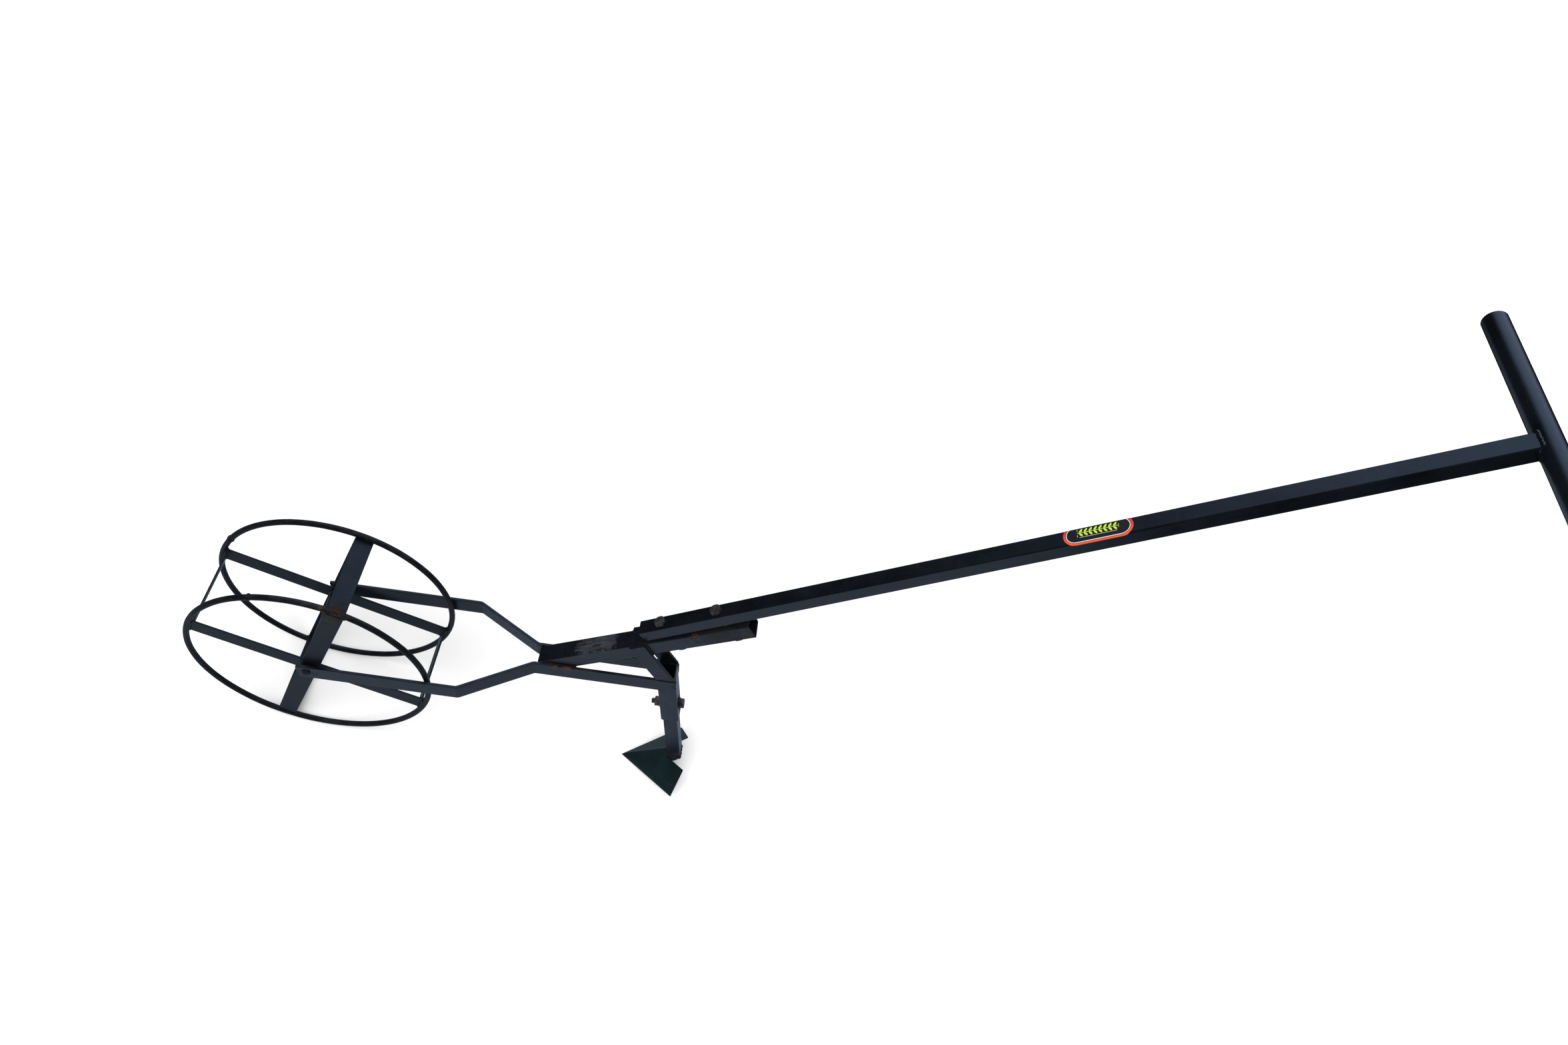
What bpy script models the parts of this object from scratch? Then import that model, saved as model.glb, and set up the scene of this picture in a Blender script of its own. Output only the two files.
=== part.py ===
"""Cage-wheel hoe: a two-ring cage wheel in a flat-bar fork, a square-tube beam and handle with a
round T grip, and a V sweep blade on a square shank that slides in a clamped sleeve.

Fork axes: origin on the wheel's axle, +X to the rear along the fork arms, +Z up, +Y to the
operator's right. The fork axes are pitched about the axle so that the wheel and the blade's
point stand on z = 0. All lengths are in metres.
"""
from math import asin, atan2, cos, pi, radians, sin, sqrt, tan

import bmesh
import bpy
from mathutils import Matrix, Vector

# ---- clearances ---------------------------------------------------------------------------------
GAP = 0.0003                # between two pieces that touch
RUN_GAP = 0.0003            # hub and spokes round the axle
SHANK_PLAY = 0.0010         # each side of the shank in its sleeve
WHEEL_SIDE_GAP = 0.00355    # each ring's rod to the arm beside it

# ---- cage wheel ---------------------------------------------------------------------------------
RING_RADIUS = 0.1985        # centreline of each round-rod ring
RING_ROD = 0.010            # rod diameter of the rings
RING_SPACING = 0.1475       # between the two rings' planes
FLAT_WIDTH = 0.030          # flat bar of the spokes and cross strips
FLAT_THICK = 0.003
SPOKE_TILT = radians(24.6)  # first pair of spokes below the fork's line, at rest
AXLE_DIA = 0.012
AXLE_PROUD = 0.004          # axle beyond each arm's outer face, peened over
HUB_WALL = 0.0064
SPACER_WALL = 0.005         # rings on the axle between the wheel and the arms

# ---- fork arms ----------------------------------------------------------------------------------
ARM_HEIGHT = 0.032
ARM_THICK = 0.005
ARM_NOSE = 0.016            # arm ahead of the axle
ARM_CLEAR = 0.0478          # wheel's rim to where the arms turn in
ARM_TAPER = 0.1144          # from there to the beam's sides

# ---- beam, sleeve and struts --------------------------------------------------------------------
TUBE_WALL = 0.0025          # square tube of the beam and the sleeve
BEAM_LENGTH = 0.3936
BEAM_SETBACK = 0.0059       # beam's top front edge behind the end of the taper
BEAM_SUNK = 0.0013          # and below the arms' top edges
BEAM_ANGLE = radians(29.65)
SLEEVE_LENGTH = 0.1455
SLEEVE_BEHIND = 0.2184      # centre of the sleeve's open top behind the beam's nose
SLEEVE_TILT = radians(4.05)
STRUT_WIDTH = 0.028
STRUT_ANGLE = radians(62.8)

# ---- handle and grip ----------------------------------------------------------------------------
HANDLE_WIDTH = 0.025
HANDLE_WALL = 0.002
HANDLE_LENGTH = 1.215       # from its front end to the grip's skin
HANDLE_START = 0.2116       # front end of the handle, along the beam from its nose
HANDLE_LIFT = radians(2.9)  # steeper than the beam
GRIP_DIA = 0.031
GRIP_WALL = 0.002
GRIP_LENGTH = 0.426
CAP_THICK = 0.004
HANDLE_BOLT_FIRST = 0.041   # along the handle from its front end
HANDLE_BOLT_PITCH = 0.102
LABEL_MIDDLE = 0.726        # along the handle from its front end
LABEL_LENGTH = 0.086
LABEL_MARGIN = 0.0005       # inside the flat of the handle's top
LABEL_THICK = 0.0004

# ---- fasteners (M10) ----------------------------------------------------------------------------
BOLT_DIA = 0.010
HEX_GRIP = 0.0035           # hexagons' flats beyond the thread, each side
HEAD_THICK = 0.0064
NUT_THICK = 0.008
WASHER_RIM = 0.005          # washers' and spacer's edge beyond the thread
SPACER_RIM = 0.0035
WASHER_THICK = 0.002
STUD_PROUD = 0.006          # thread beyond the nut

# ---- tool ---------------------------------------------------------------------------------------
SHANK_WIDTH = 0.025
CLAMP_UP = 0.0385           # clamp bolt above the sleeve's lower end
SHANK_OVER_CLAMP = 0.062    # shank's top end above the clamp bolt
TOOL_TRAVEL = 0.020         # each way along the slots
BLADE_BELOW = 0.1894        # cutting edge below the sleeve, square to the fork
FOOT_OVER_EDGE = 0.0259     # shank's lowest point above the cutting edge
BLADE_AHEAD = 0.0808        # blade's point ahead of the sleeve's top centre
BLADE_LENGTH = 0.1056       # point to wing corners, along the fork
BLADE_SPAN = 0.146          # across the wing corners
CHORD_BACK = 0.0174         # rear corner of a wing from its outer corner
CHORD_IN = 0.0385
CHORD_RISE = 0.0364
RIDGE_RISE = 0.050          # ridge above the cutting edge where it meets the shank
BLADE_THICK = 0.0045

ROUND_STEPS = 24
RING_STEPS = 72
ROD_STEPS = 10

# ---- worked out ---------------------------------------------------------------------------------
RING_OUTER = RING_RADIUS + RING_ROD / 2
HUB_OD = AXLE_DIA + 2 * (RUN_GAP + HUB_WALL)
SPACER_DIA = AXLE_DIA + 2 * SPACER_WALL
FLAT_REACH = sqrt((RING_RADIUS - RING_ROD / 2 - GAP) ** 2 - (FLAT_WIDTH / 2) ** 2)
ARM_SPREAD = RING_SPACING + RING_ROD + 2 * WHEEL_SIDE_GAP + ARM_THICK
ARM_BEND_X = RING_OUTER + ARM_CLEAR
ARM_JOIN_X = ARM_BEND_X + ARM_TAPER
BEAM_NOSE_X = ARM_JOIN_X + BEAM_SETBACK
BEAM_NOSE_Z = ARM_HEIGHT / 2 - BEAM_SUNK
TUBE_WIDTH = SHANK_WIDTH + 2 * (SHANK_PLAY + TUBE_WALL)
SLEEVE_X = BEAM_NOSE_X + SLEEVE_BEHIND
SLEEVE_Z = ARM_HEIGHT / 2 - GAP
ARM_SIDE = TUBE_WIDTH / 2 + GAP + ARM_THICK / 2
CLAMP_DEPTH = SLEEVE_LENGTH - CLAMP_UP
SHANK_TOP = CLAMP_DEPTH - SHANK_OVER_CLAMP
BLADE_DROP = SLEEVE_LENGTH + BLADE_BELOW
SHANK_FOOT = BLADE_DROP - FOOT_OVER_EDGE
BLADE_POINT = Vector((SLEEVE_X - BLADE_AHEAD, 0, SLEEVE_Z - BLADE_DROP - BLADE_THICK))
PITCH = atan2(-BLADE_POINT.z, BLADE_POINT.x) - asin(RING_OUTER / BLADE_POINT.length)
SPOKE_ANGLE = SPOKE_TILT - PITCH
HANDLE_ANGLE = BEAM_ANGLE + HANDLE_LIFT
GRIP_CENTRE = HANDLE_LENGTH + GRIP_DIA / 2
HEX_ACROSS = BOLT_DIA + 2 * HEX_GRIP
WASHER_DIA = BOLT_DIA + 2 * WASHER_RIM
LABEL_WIDTH = HANDLE_WIDTH - 2 * (HANDLE_WALL + LABEL_MARGIN)


def fork_to_world(point):
    """Place of a fork point after the pitch, with the axle at the ring's height."""
    x = point[0] * cos(PITCH) - point[1] * sin(PITCH)
    return Vector((x, 0, point[0] * sin(PITCH) + point[1] * cos(PITCH) + RING_OUTER))


def beam_point(along, up):
    """Fork (x, z) of a place on the beam: along it from its nose and up from its top face."""
    x = BEAM_NOSE_X + along * cos(BEAM_ANGLE) - up * sin(BEAM_ANGLE)
    return (x, BEAM_NOSE_Z + along * sin(BEAM_ANGLE) + up * cos(BEAM_ANGLE))


def handle_point(along, up):
    """Fork (x, z) of a place on the handle: along it and up from its lower face."""
    foot = beam_point(HANDLE_START, GAP)
    x = foot[0] + along * cos(HANDLE_ANGLE) - up * sin(HANDLE_ANGLE)
    return (x, foot[1] + along * sin(HANDLE_ANGLE) + up * cos(HANDLE_ANGLE))


GRIP_WORLD = fork_to_world(handle_point(GRIP_CENTRE, HANDLE_WIDTH / 2))
AXLE_X = -(GRIP_WORLD.x + GRIP_DIA / 2 - RING_OUTER) / 2


# ---- mesh helpers -------------------------------------------------------------------------------
def prism(outline, low, high, place):
    """A polygon in the (a, b) plane raised from low to high; place maps (a, b, h) to a point."""
    mesh = bmesh.new()
    rings = []
    for height in (low, high):
        rings.append([mesh.verts.new(place(a, b, height)) for a, b in outline])
    mesh.faces.new(list(reversed(rings[0])))
    mesh.faces.new(rings[1])
    count = len(outline)
    for i in range(count):
        j = (i + 1) % count
        mesh.faces.new((rings[0][i], rings[0][j], rings[1][j], rings[1][i]))
    bmesh.ops.recalc_face_normals(mesh, faces=mesh.faces)
    return mesh


def along_x(a, b, height):
    return Vector((height, a, b))


def along_y(a, b, height):
    return Vector((a, height, b))


def along_z(a, b, height):
    return Vector((a, b, height))


def circle(radius, steps=ROUND_STEPS, centre=(0.0, 0.0)):
    turn = 2 * pi / steps
    return [(centre[0] + radius * cos(i * turn), centre[1] + radius * sin(i * turn))
            for i in range(steps)]


def hexagon():
    return circle(HEX_ACROSS / 2 / cos(pi / 6), 6)


def turned_loop(section, steps, place):
    """A closed (radius, height) section turned once round its axis."""
    mesh = bmesh.new()
    turn = 2 * pi / steps
    rings = []
    for i in range(steps):
        c, s = cos(i * turn), sin(i * turn)
        rings.append([mesh.verts.new(place(r * c, r * s, h)) for r, h in section])
    count = len(section)
    for i in range(steps):
        here, there = rings[i], rings[(i + 1) % steps]
        for k in range(count):
            m = (k + 1) % count
            mesh.faces.new((here[k], here[m], there[m], there[k]))
    bmesh.ops.recalc_face_normals(mesh, faces=mesh.faces)
    return mesh


def turned_solid(profile, place, steps=ROUND_STEPS):
    """An open (radius, height) profile that starts and ends on the axis, turned once round."""
    mesh = bmesh.new()
    turn = 2 * pi / steps
    first = mesh.verts.new(place(0, 0, profile[0][1]))
    last = mesh.verts.new(place(0, 0, profile[-1][1]))
    rings = []
    for radius, height in profile[1:-1]:
        spots = [(radius * cos(i * turn), radius * sin(i * turn)) for i in range(steps)]
        rings.append([mesh.verts.new(place(a, b, height)) for a, b in spots])
    for i in range(steps):
        j = (i + 1) % steps
        mesh.faces.new((first, rings[0][i], rings[0][j]))
        mesh.faces.new((last, rings[-1][i], rings[-1][j]))
        for here, there in zip(rings, rings[1:]):
            mesh.faces.new((here[i], here[j], there[j], there[i]))
    bmesh.ops.recalc_face_normals(mesh, faces=mesh.faces)
    return mesh


def tube(outer, inner, low, high, place, steps=ROUND_STEPS):
    section = [(outer, low), (outer, high), (inner, high), (inner, low)]
    return turned_loop(section, steps, place)


def square_tube(width, wall, low, high, place):
    """Square tube about its own axis, with its outer corners rounded by the wall's thickness."""
    half = width / 2
    inner = half - wall
    corners = ((1, 1), (-1, 1), (-1, -1), (1, -1))
    mesh = bmesh.new()
    loops = []
    for height in (low, high):
        for reach in (half, inner):
            loops.append([mesh.verts.new(place(x * reach, y * reach, height)) for x, y in corners])
    low_out, low_in, high_out, high_in = loops
    for i in range(4):
        j = (i + 1) % 4
        mesh.faces.new((low_out[i], low_out[j], high_out[j], high_out[i]))
        mesh.faces.new((low_in[i], low_in[j], high_in[j], high_in[i]))
        mesh.faces.new((low_out[i], low_out[j], low_in[j], low_in[i]))
        mesh.faces.new((high_out[i], high_out[j], high_in[j], high_in[i]))
    bmesh.ops.recalc_face_normals(mesh, faces=mesh.faces)
    edges = [mesh.edges.get((low_out[i], high_out[i])) for i in range(4)]
    bmesh.ops.bevel(mesh, geom=edges, offset=wall, segments=3, profile=0.5, affect="EDGES")
    return mesh


def merged(*parts):
    """Separate solids in one mesh."""
    whole = bmesh.new()
    for part in parts:
        scrap = bpy.data.meshes.new("scrap")
        part.to_mesh(scrap)
        part.free()
        whole.from_mesh(scrap)
        bpy.data.meshes.remove(scrap)
    return whole


def moved(mesh, offset):
    bmesh.ops.translate(mesh, verts=mesh.verts, vec=offset)
    return mesh


def combined(base, tool, operation):
    """The base solid cut by, or joined with, the tool solid."""
    objects = []
    for part in (base, tool):
        data = bpy.data.meshes.new("scrap")
        part.to_mesh(data)
        part.free()
        thing = bpy.data.objects.new("scrap", data)
        bpy.context.collection.objects.link(thing)
        objects.append(thing)
    modifier = objects[0].modifiers.new("cut", "BOOLEAN")
    modifier.operation = operation
    modifier.object = objects[1]
    bpy.context.view_layer.update()
    seen = objects[0].evaluated_get(bpy.context.evaluated_depsgraph_get())
    result = bmesh.new()
    result.from_mesh(seen.to_mesh())
    for thing in objects:
        data = thing.data
        bpy.data.objects.remove(thing)
        bpy.data.meshes.remove(data)
    return result


def cut(base, tool):
    return combined(base, tool, "DIFFERENCE")


def joined(base, tool):
    return combined(base, tool, "UNION")


# ---- scene helpers ------------------------------------------------------------------------------
def paint(name, colour, roughness, metallic):
    material = bpy.data.materials.new(name)
    material.use_nodes = True
    shader = material.node_tree.nodes["Principled BSDF"]
    shader.inputs["Base Color"].default_value = (*colour, 1)
    shader.inputs["Roughness"].default_value = roughness
    shader.inputs["Metallic"].default_value = metallic
    return material


def empty(name, parent, location, pitch):
    """An axis for the pieces that hang on it; a positive pitch lifts its +X."""
    thing = bpy.data.objects.new(name, None)
    bpy.context.collection.objects.link(thing)
    thing.parent = parent
    thing.location = location
    thing.rotation_euler = (0, -pitch, 0)
    return thing


def piece(name, mesh, material, parent):
    data = bpy.data.meshes.new(name)
    mesh.to_mesh(data)
    mesh.free()
    data.materials.append(material)
    data.shade_smooth()
    data.set_sharp_from_angle(angle=radians(30))
    thing = bpy.data.objects.new(name, data)
    bpy.context.collection.objects.link(thing)
    thing.parent = parent
    return thing


# ---- cage wheel ---------------------------------------------------------------------------------
def ring(side):
    rod = [(RING_RADIUS + a, side * RING_SPACING / 2 + b) for a, b in circle(RING_ROD / 2, ROD_STEPS)]
    return turned_loop(rod, RING_STEPS, along_y)


def spun(mesh, angle):
    """Turned about the axle, so that its +X end dips below the fork's line by the angle."""
    bmesh.ops.rotate(mesh, verts=mesh.verts, matrix=Matrix.Rotation(angle, 3, "Y"))
    return mesh


def spoke(side, lap):
    """Full-diameter flat in a ring's plane, inside (-1) or outside (+1) of the one it crosses."""
    middle = RING_SPACING / 2 + lap * (GAP + FLAT_THICK) / 2
    half = FLAT_WIDTH / 2
    outline = [(-FLAT_REACH, -half), (FLAT_REACH, -half), (FLAT_REACH, half), (-FLAT_REACH, half)]
    low = side * middle - FLAT_THICK / 2
    bar = prism(outline, low, low + FLAT_THICK, along_y)
    drill = prism(circle(AXLE_DIA / 2 + RUN_GAP), low - GAP, low + FLAT_THICK + GAP, along_y)
    return cut(bar, drill)


def cross_strip(lap):
    """Flat parallel to the axle that joins the spokes' ends across the wheel, at +X."""
    half_length = RING_SPACING / 2 + lap * (GAP + FLAT_THICK) / 2 - FLAT_THICK / 2 - GAP
    low = FLAT_REACH - FLAT_THICK
    outline = [(low, -FLAT_WIDTH / 2), (FLAT_REACH, -FLAT_WIDTH / 2),
               (FLAT_REACH, FLAT_WIDTH / 2), (low, FLAT_WIDTH / 2)]
    return prism(outline, -half_length, half_length, along_y)


def build_wheel(axes, black):
    hub_half = RING_SPACING / 2 - GAP * 1.5 - FLAT_THICK
    hub = tube(HUB_OD / 2, AXLE_DIA / 2 + RUN_GAP, -hub_half, hub_half, along_y)
    piece("hub_tube", hub, black, axes)
    for side, hand in ((-1, "left"), (1, "right")):
        piece("wheel_ring_" + hand, ring(side), black, axes)
        piece("wheel_spoke_a_" + hand, spun(spoke(side, -1), SPOKE_ANGLE), black, axes)
        piece("wheel_spoke_b_" + hand, spun(spoke(side, 1), SPOKE_ANGLE - pi / 2), black, axes)
    places = (("rear", -1, 0), ("top", 1, -pi / 2), ("front", -1, pi), ("bottom", 1, pi / 2))
    for name, lap, turn in places:
        piece("wheel_strip_" + name, spun(cross_strip(lap), SPOKE_ANGLE + turn), black, axes)


# ---- fork ---------------------------------------------------------------------------------------
def arm(side):
    """Flat on edge: past the wheel, turned in to the beam, and back to the sleeve's side."""
    wide = ARM_SPREAD / 2
    end = SLEEVE_X + TUBE_WIDTH / 2 + GAP
    centre = [(-ARM_NOSE, wide), (ARM_BEND_X, wide), (ARM_JOIN_X, ARM_SIDE), (end, ARM_SIDE)]
    slope = atan2(wide - ARM_SIDE, ARM_JOIN_X - ARM_BEND_X)
    shift = ARM_THICK / 2 * tan(slope / 2)
    half = ARM_THICK / 2
    leans = (0, 1, 1, 0)
    outer = [(x + lean * shift, y + half) for (x, y), lean in zip(centre, leans)]
    inner = [(x - lean * shift, y - half) for (x, y), lean in zip(centre, leans)]
    outline = [(x, side * y) for x, y in outer + inner[::-1]]
    bar = prism(outline, -ARM_HEIGHT / 2, ARM_HEIGHT / 2, along_z)
    hole = prism(circle(AXLE_DIA / 2 + GAP), side * wide - ARM_THICK, side * wide + ARM_THICK, along_y)
    return cut(bar, hole)


def axle():
    half = ARM_SPREAD / 2 + ARM_THICK / 2 + AXLE_PROUD
    chamfer = AXLE_PROUD / 2
    radius = AXLE_DIA / 2
    inner = [(0, -half), (radius - chamfer, -half), (radius, chamfer - half),
             (radius, half - chamfer), (radius - chamfer, half), (0, half)]
    return turned_solid(inner, along_y)


def axle_spacer(side):
    """Ring on the axle that keeps the wheel clear of an arm."""
    inner_end = RING_SPACING / 2 + GAP / 2 + FLAT_THICK + GAP
    outer_end = ARM_SPREAD / 2 - ARM_THICK / 2 - GAP
    low, high = sorted((side * inner_end, side * outer_end))
    return tube(SPACER_DIA / 2, AXLE_DIA / 2 + GAP, low, high, along_y)


def strut(side):
    """Flat from the arm's top edge at the sleeve up to the beam's top, against both sides."""
    low = ARM_HEIGHT / 2 + GAP
    direction = Vector((-cos(STRUT_ANGLE), sin(STRUT_ANGLE)))
    reach = STRUT_WIDTH / 2 / sin(STRUT_ANGLE)
    corners = []
    for offset in (-reach, reach):
        foot = Vector((SLEEVE_X + offset, low))
        rise = tan(BEAM_ANGLE)
        beam_top = BEAM_NOSE_Z + (foot.x - BEAM_NOSE_X) * rise
        travel = (beam_top - low) / (direction.y - direction.x * rise)
        corners.append((foot, foot + direction * travel))
    (front_foot, front_top), (rear_foot, rear_top) = corners
    outline = [tuple(point) for point in (front_foot, rear_foot, rear_top, front_top)]
    inner_face = ARM_SIDE - ARM_THICK / 2
    low_y, high_y = sorted((side * inner_face, side * (inner_face + ARM_THICK)))
    return prism(outline, low_y, high_y, along_y)


def build_fork(axes, black):
    for side, hand in ((-1, "left"), (1, "right")):
        piece("fork_arm_" + hand, arm(side), black, axes)
        piece("strut_" + hand, strut(side), black, axes)
        piece("axle_spacer_" + hand, axle_spacer(side), black, axes)
    piece("axle_rod", axle(), black, axes)


# ---- beam, handle and grip ----------------------------------------------------------------------
def bolt_holes(low, high):
    """Drill for the two handle bolts, in handle axes."""
    drills = []
    for k in range(2):
        centre = (HANDLE_BOLT_FIRST + k * HANDLE_BOLT_PITCH, 0)
        drills.append(prism(circle(BOLT_DIA / 2 + GAP, centre=centre), low, high, along_z))
    return merged(*drills)


def build_beam(axes, black):
    low, high = -TUBE_WIDTH, 0
    body = square_tube(TUBE_WIDTH, TUBE_WALL, 0, BEAM_LENGTH, along_x)
    moved(body, Vector((0, 0, (low + high) / 2)))
    drills = bolt_holes(-TUBE_WIDTH * 2, HANDLE_WIDTH)
    to_beam = Matrix.Translation((HANDLE_START, 0, GAP)) @ Matrix.Rotation(-HANDLE_LIFT, 4, "Y")
    bmesh.ops.transform(drills, verts=drills.verts, matrix=to_beam)
    piece("frame_beam", cut(body, drills), black, axes)


def build_handle(axes, black, steel, red):
    half = HANDLE_WIDTH / 2
    body = square_tube(HANDLE_WIDTH, HANDLE_WALL, 0, GRIP_CENTRE, along_x)
    moved(body, Vector((0, 0, half)))
    body = cut(body, bolt_holes(-HANDLE_WIDTH, HANDLE_WIDTH * 2))
    saddle = prism(circle(GRIP_DIA / 2 + GAP, 2 * ROUND_STEPS), -GRIP_LENGTH / 2, GRIP_LENGTH / 2, along_y)
    moved(saddle, Vector((GRIP_CENTRE, 0, half)))
    piece("handle_tube", cut(body, saddle), black, axes)
    centre = Vector((GRIP_CENTRE, 0, half))
    tube_half = GRIP_LENGTH / 2 - CAP_THICK - GAP
    sides = 2 * ROUND_STEPS
    skin = tube(GRIP_DIA / 2, GRIP_DIA / 2 - GRIP_WALL, -tube_half, tube_half, along_y, sides)
    piece("grip_tube", moved(skin, centre), black, axes)
    for side, hand in ((-1, "left"), (1, "right")):
        radius = GRIP_DIA / 2
        edge = CAP_THICK / 2
        low = tube_half + GAP
        high = low + CAP_THICK
        profile = [(0, low), (radius, low), (radius, high - edge), (radius - edge * 0.3, high - edge * 0.3),
                   (radius - edge, high), (0, high)]
        cap = turned_solid([(r, side * h) for r, h in profile], along_y, sides)
        piece("grip_end_cap_" + hand, moved(cap, centre), black, axes)
    piece("handle_label", label(), red, axes)
    build_handle_bolts(axes, steel)


def build_handle_bolts(axes, steel):
    """Two bolts down through handle and beam, with a spacer where the two stand apart."""
    tilt = tan(HANDLE_LIFT)
    for k, place in enumerate(("front", "rear")):
        along = HANDLE_BOLT_FIRST + k * HANDLE_BOLT_PITCH
        spot = Vector((along, 0, 0))
        wedge = along * tilt
        beam_low = -(TUBE_WIDTH + GAP) / cos(HANDLE_LIFT) - wedge
        washer_top = beam_low - WASHER_DIA / 2 * tilt - GAP
        nut_top = washer_top - WASHER_THICK - GAP
        end = nut_top - NUT_THICK - STUD_PROUD
        head_low = HANDLE_WIDTH + GAP
        head = prism(hexagon(), head_low, head_low + HEAD_THICK, along_z)
        rod = prism(circle(BOLT_DIA / 2), end, head_low + HEAD_THICK / 2, along_z)
        piece("handle_bolt_" + place, moved(joined(head, rod), spot), steel, axes)
        nut = prism(hexagon(), nut_top - NUT_THICK, nut_top, along_z)
        bore = prism(circle(BOLT_DIA / 2 + GAP), nut_top - 2 * NUT_THICK, nut_top + NUT_THICK, along_z)
        piece("handle_nut_" + place, moved(cut(nut, bore), spot), steel, axes)
        washer = tube(WASHER_DIA / 2, BOLT_DIA / 2 + GAP, washer_top - WASHER_THICK, washer_top, along_z)
        piece("handle_washer_" + place, moved(washer, spot), steel, axes)
    radius = BOLT_DIA / 2 + SPACER_RIM
    along = HANDLE_BOLT_FIRST + HANDLE_BOLT_PITCH
    low = -along * tilt + radius * tilt + GAP
    spacer = tube(radius, BOLT_DIA / 2 + GAP, low, -GAP, along_z)
    piece("handle_spacer", moved(spacer, Vector((along, 0, 0))), steel, axes)


def label():
    """Oval sticker on the handle's top face."""
    radius = LABEL_WIDTH / 2
    straight = LABEL_LENGTH / 2 - radius
    steps = ROUND_STEPS // 2
    arc = [(radius * sin(i * pi / steps), -radius * cos(i * pi / steps)) for i in range(steps + 1)]
    rear = [(LABEL_MIDDLE + straight + a, b) for a, b in arc]
    front = [(LABEL_MIDDLE - straight - a, -b) for a, b in arc]
    low = HANDLE_WIDTH + GAP
    return prism(rear + front, low, low + LABEL_THICK, along_z)


# ---- sleeve and tool ----------------------------------------------------------------------------
def slot(depth):
    """Long hole for the clamp bolt through the sleeve's front and rear walls."""
    half = BOLT_DIA / 2 + GAP
    steps = ROUND_STEPS // 2
    arc = [(half * cos(i * pi / steps), half * sin(i * pi / steps)) for i in range(steps + 1)]
    upper = [(a, b - depth + TOOL_TRAVEL) for a, b in arc]
    lower = [(-a, -b - depth - TOOL_TRAVEL) for a, b in arc]
    return prism(upper + lower, -TUBE_WIDTH, TUBE_WIDTH, along_x)


def build_sleeve(axes, black):
    body = square_tube(TUBE_WIDTH, TUBE_WALL, -SLEEVE_LENGTH, 0, along_z)
    piece("tool_sleeve", cut(body, slot(CLAMP_DEPTH)), black, axes)


def shank():
    """Square bar drilled for the clamp bolt, its foot sloped up to the rear behind the blade."""
    half = SHANK_WIDTH / 2
    heel = half
    outline = [(-half, -SHANK_TOP), (-half, -SHANK_FOOT), (0, -SHANK_FOOT), (half, -SHANK_FOOT + heel),
               (half, -SHANK_TOP)]
    bar = prism(outline, -half, half, along_y)
    drill = prism(circle(BOLT_DIA / 2 + GAP, centre=(0, -CLAMP_DEPTH)), -SHANK_WIDTH, SHANK_WIDTH, along_x)
    return cut(bar, drill)


def in_tool_axes(x, y, z):
    """A point square to the fork, from the sleeve's top centre, in the tilted tool axes."""
    return Vector((x * cos(SLEEVE_TILT) + z * sin(SLEEVE_TILT), y,
                   z * cos(SLEEVE_TILT) - x * sin(SLEEVE_TILT)))


def blade():
    """V sweep: two wings from a ridge, level cutting edges, rear edges beside the shank."""
    span = BLADE_SPAN / 2
    level = -BLADE_DROP
    clear = SHANK_WIDTH / 2 + GAP
    stop = -clear
    point = in_tool_axes(-BLADE_AHEAD, 0, level)
    ridge = in_tool_axes(0, 0, level + RIDGE_RISE)
    ridge.x = stop
    wings = []
    for side in (-1, 1):
        tip = in_tool_axes(BLADE_LENGTH - BLADE_AHEAD, side * span, level)
        rear_x = BLADE_LENGTH - BLADE_AHEAD + CHORD_BACK
        rear = in_tool_axes(rear_x, side * (span - CHORD_IN), level + CHORD_RISE)
        beside = rear + (point - tip) * ((abs(rear.y) - clear) / span)
        normal = (tip - point).cross(rear - point)
        notch = Vector((stop, beside.y, 0))
        notch.z = point.z - (normal.x * (stop - point.x) + normal.y * (notch.y - point.y)) / normal.z
        wings.append((tip, rear, beside, notch))
    mesh = bmesh.new()
    order = (point, *wings[0], ridge, *wings[1][::-1])
    tops = [mesh.verts.new(corner) for corner in order]
    for ids in ((0, 1, 2, 3, 4), (0, 4, 5), (0, 5, 6), (0, 6, 7, 8, 9)):
        mesh.faces.new([tops[i] for i in ids])
    grown = bmesh.ops.extrude_face_region(mesh, geom=list(mesh.faces))
    lower = [item for item in grown["geom"] if isinstance(item, bmesh.types.BMVert)]
    down = in_tool_axes(0, 0, -BLADE_THICK)
    bmesh.ops.translate(mesh, verts=lower, vec=down)
    bmesh.ops.triangulate(mesh, faces=mesh.faces)
    bmesh.ops.recalc_face_normals(mesh, faces=mesh.faces)
    return mesh


def build_tool(axes, black, green, steel):
    piece("tool_shank", shank(), black, axes)
    piece("sweep_blade", blade(), green, axes)
    face = TUBE_WIDTH / 2 + GAP
    lift = Vector((0, 0, -CLAMP_DEPTH))
    for place, low in (("rear", face), ("front", -face - WASHER_THICK)):
        washer = tube(WASHER_DIA / 2, BOLT_DIA / 2 + GAP, low, low + WASHER_THICK, along_x)
        piece("clamp_washer_" + place, moved(washer, lift), steel, axes)
    seat = face + WASHER_THICK + GAP
    end = -seat - NUT_THICK - STUD_PROUD
    head = prism(hexagon(), seat, seat + HEAD_THICK, along_x)
    rod = prism(circle(BOLT_DIA / 2), end, seat + HEAD_THICK / 2, along_x)
    piece("clamp_bolt", moved(joined(head, rod), lift), steel, axes)
    nut = prism(hexagon(), -seat - NUT_THICK, -seat, along_x)
    bore = prism(circle(BOLT_DIA / 2 + GAP), -seat - 2 * NUT_THICK, NUT_THICK - seat, along_x)
    piece("clamp_nut", moved(cut(nut, bore), lift), steel, axes)


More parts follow.
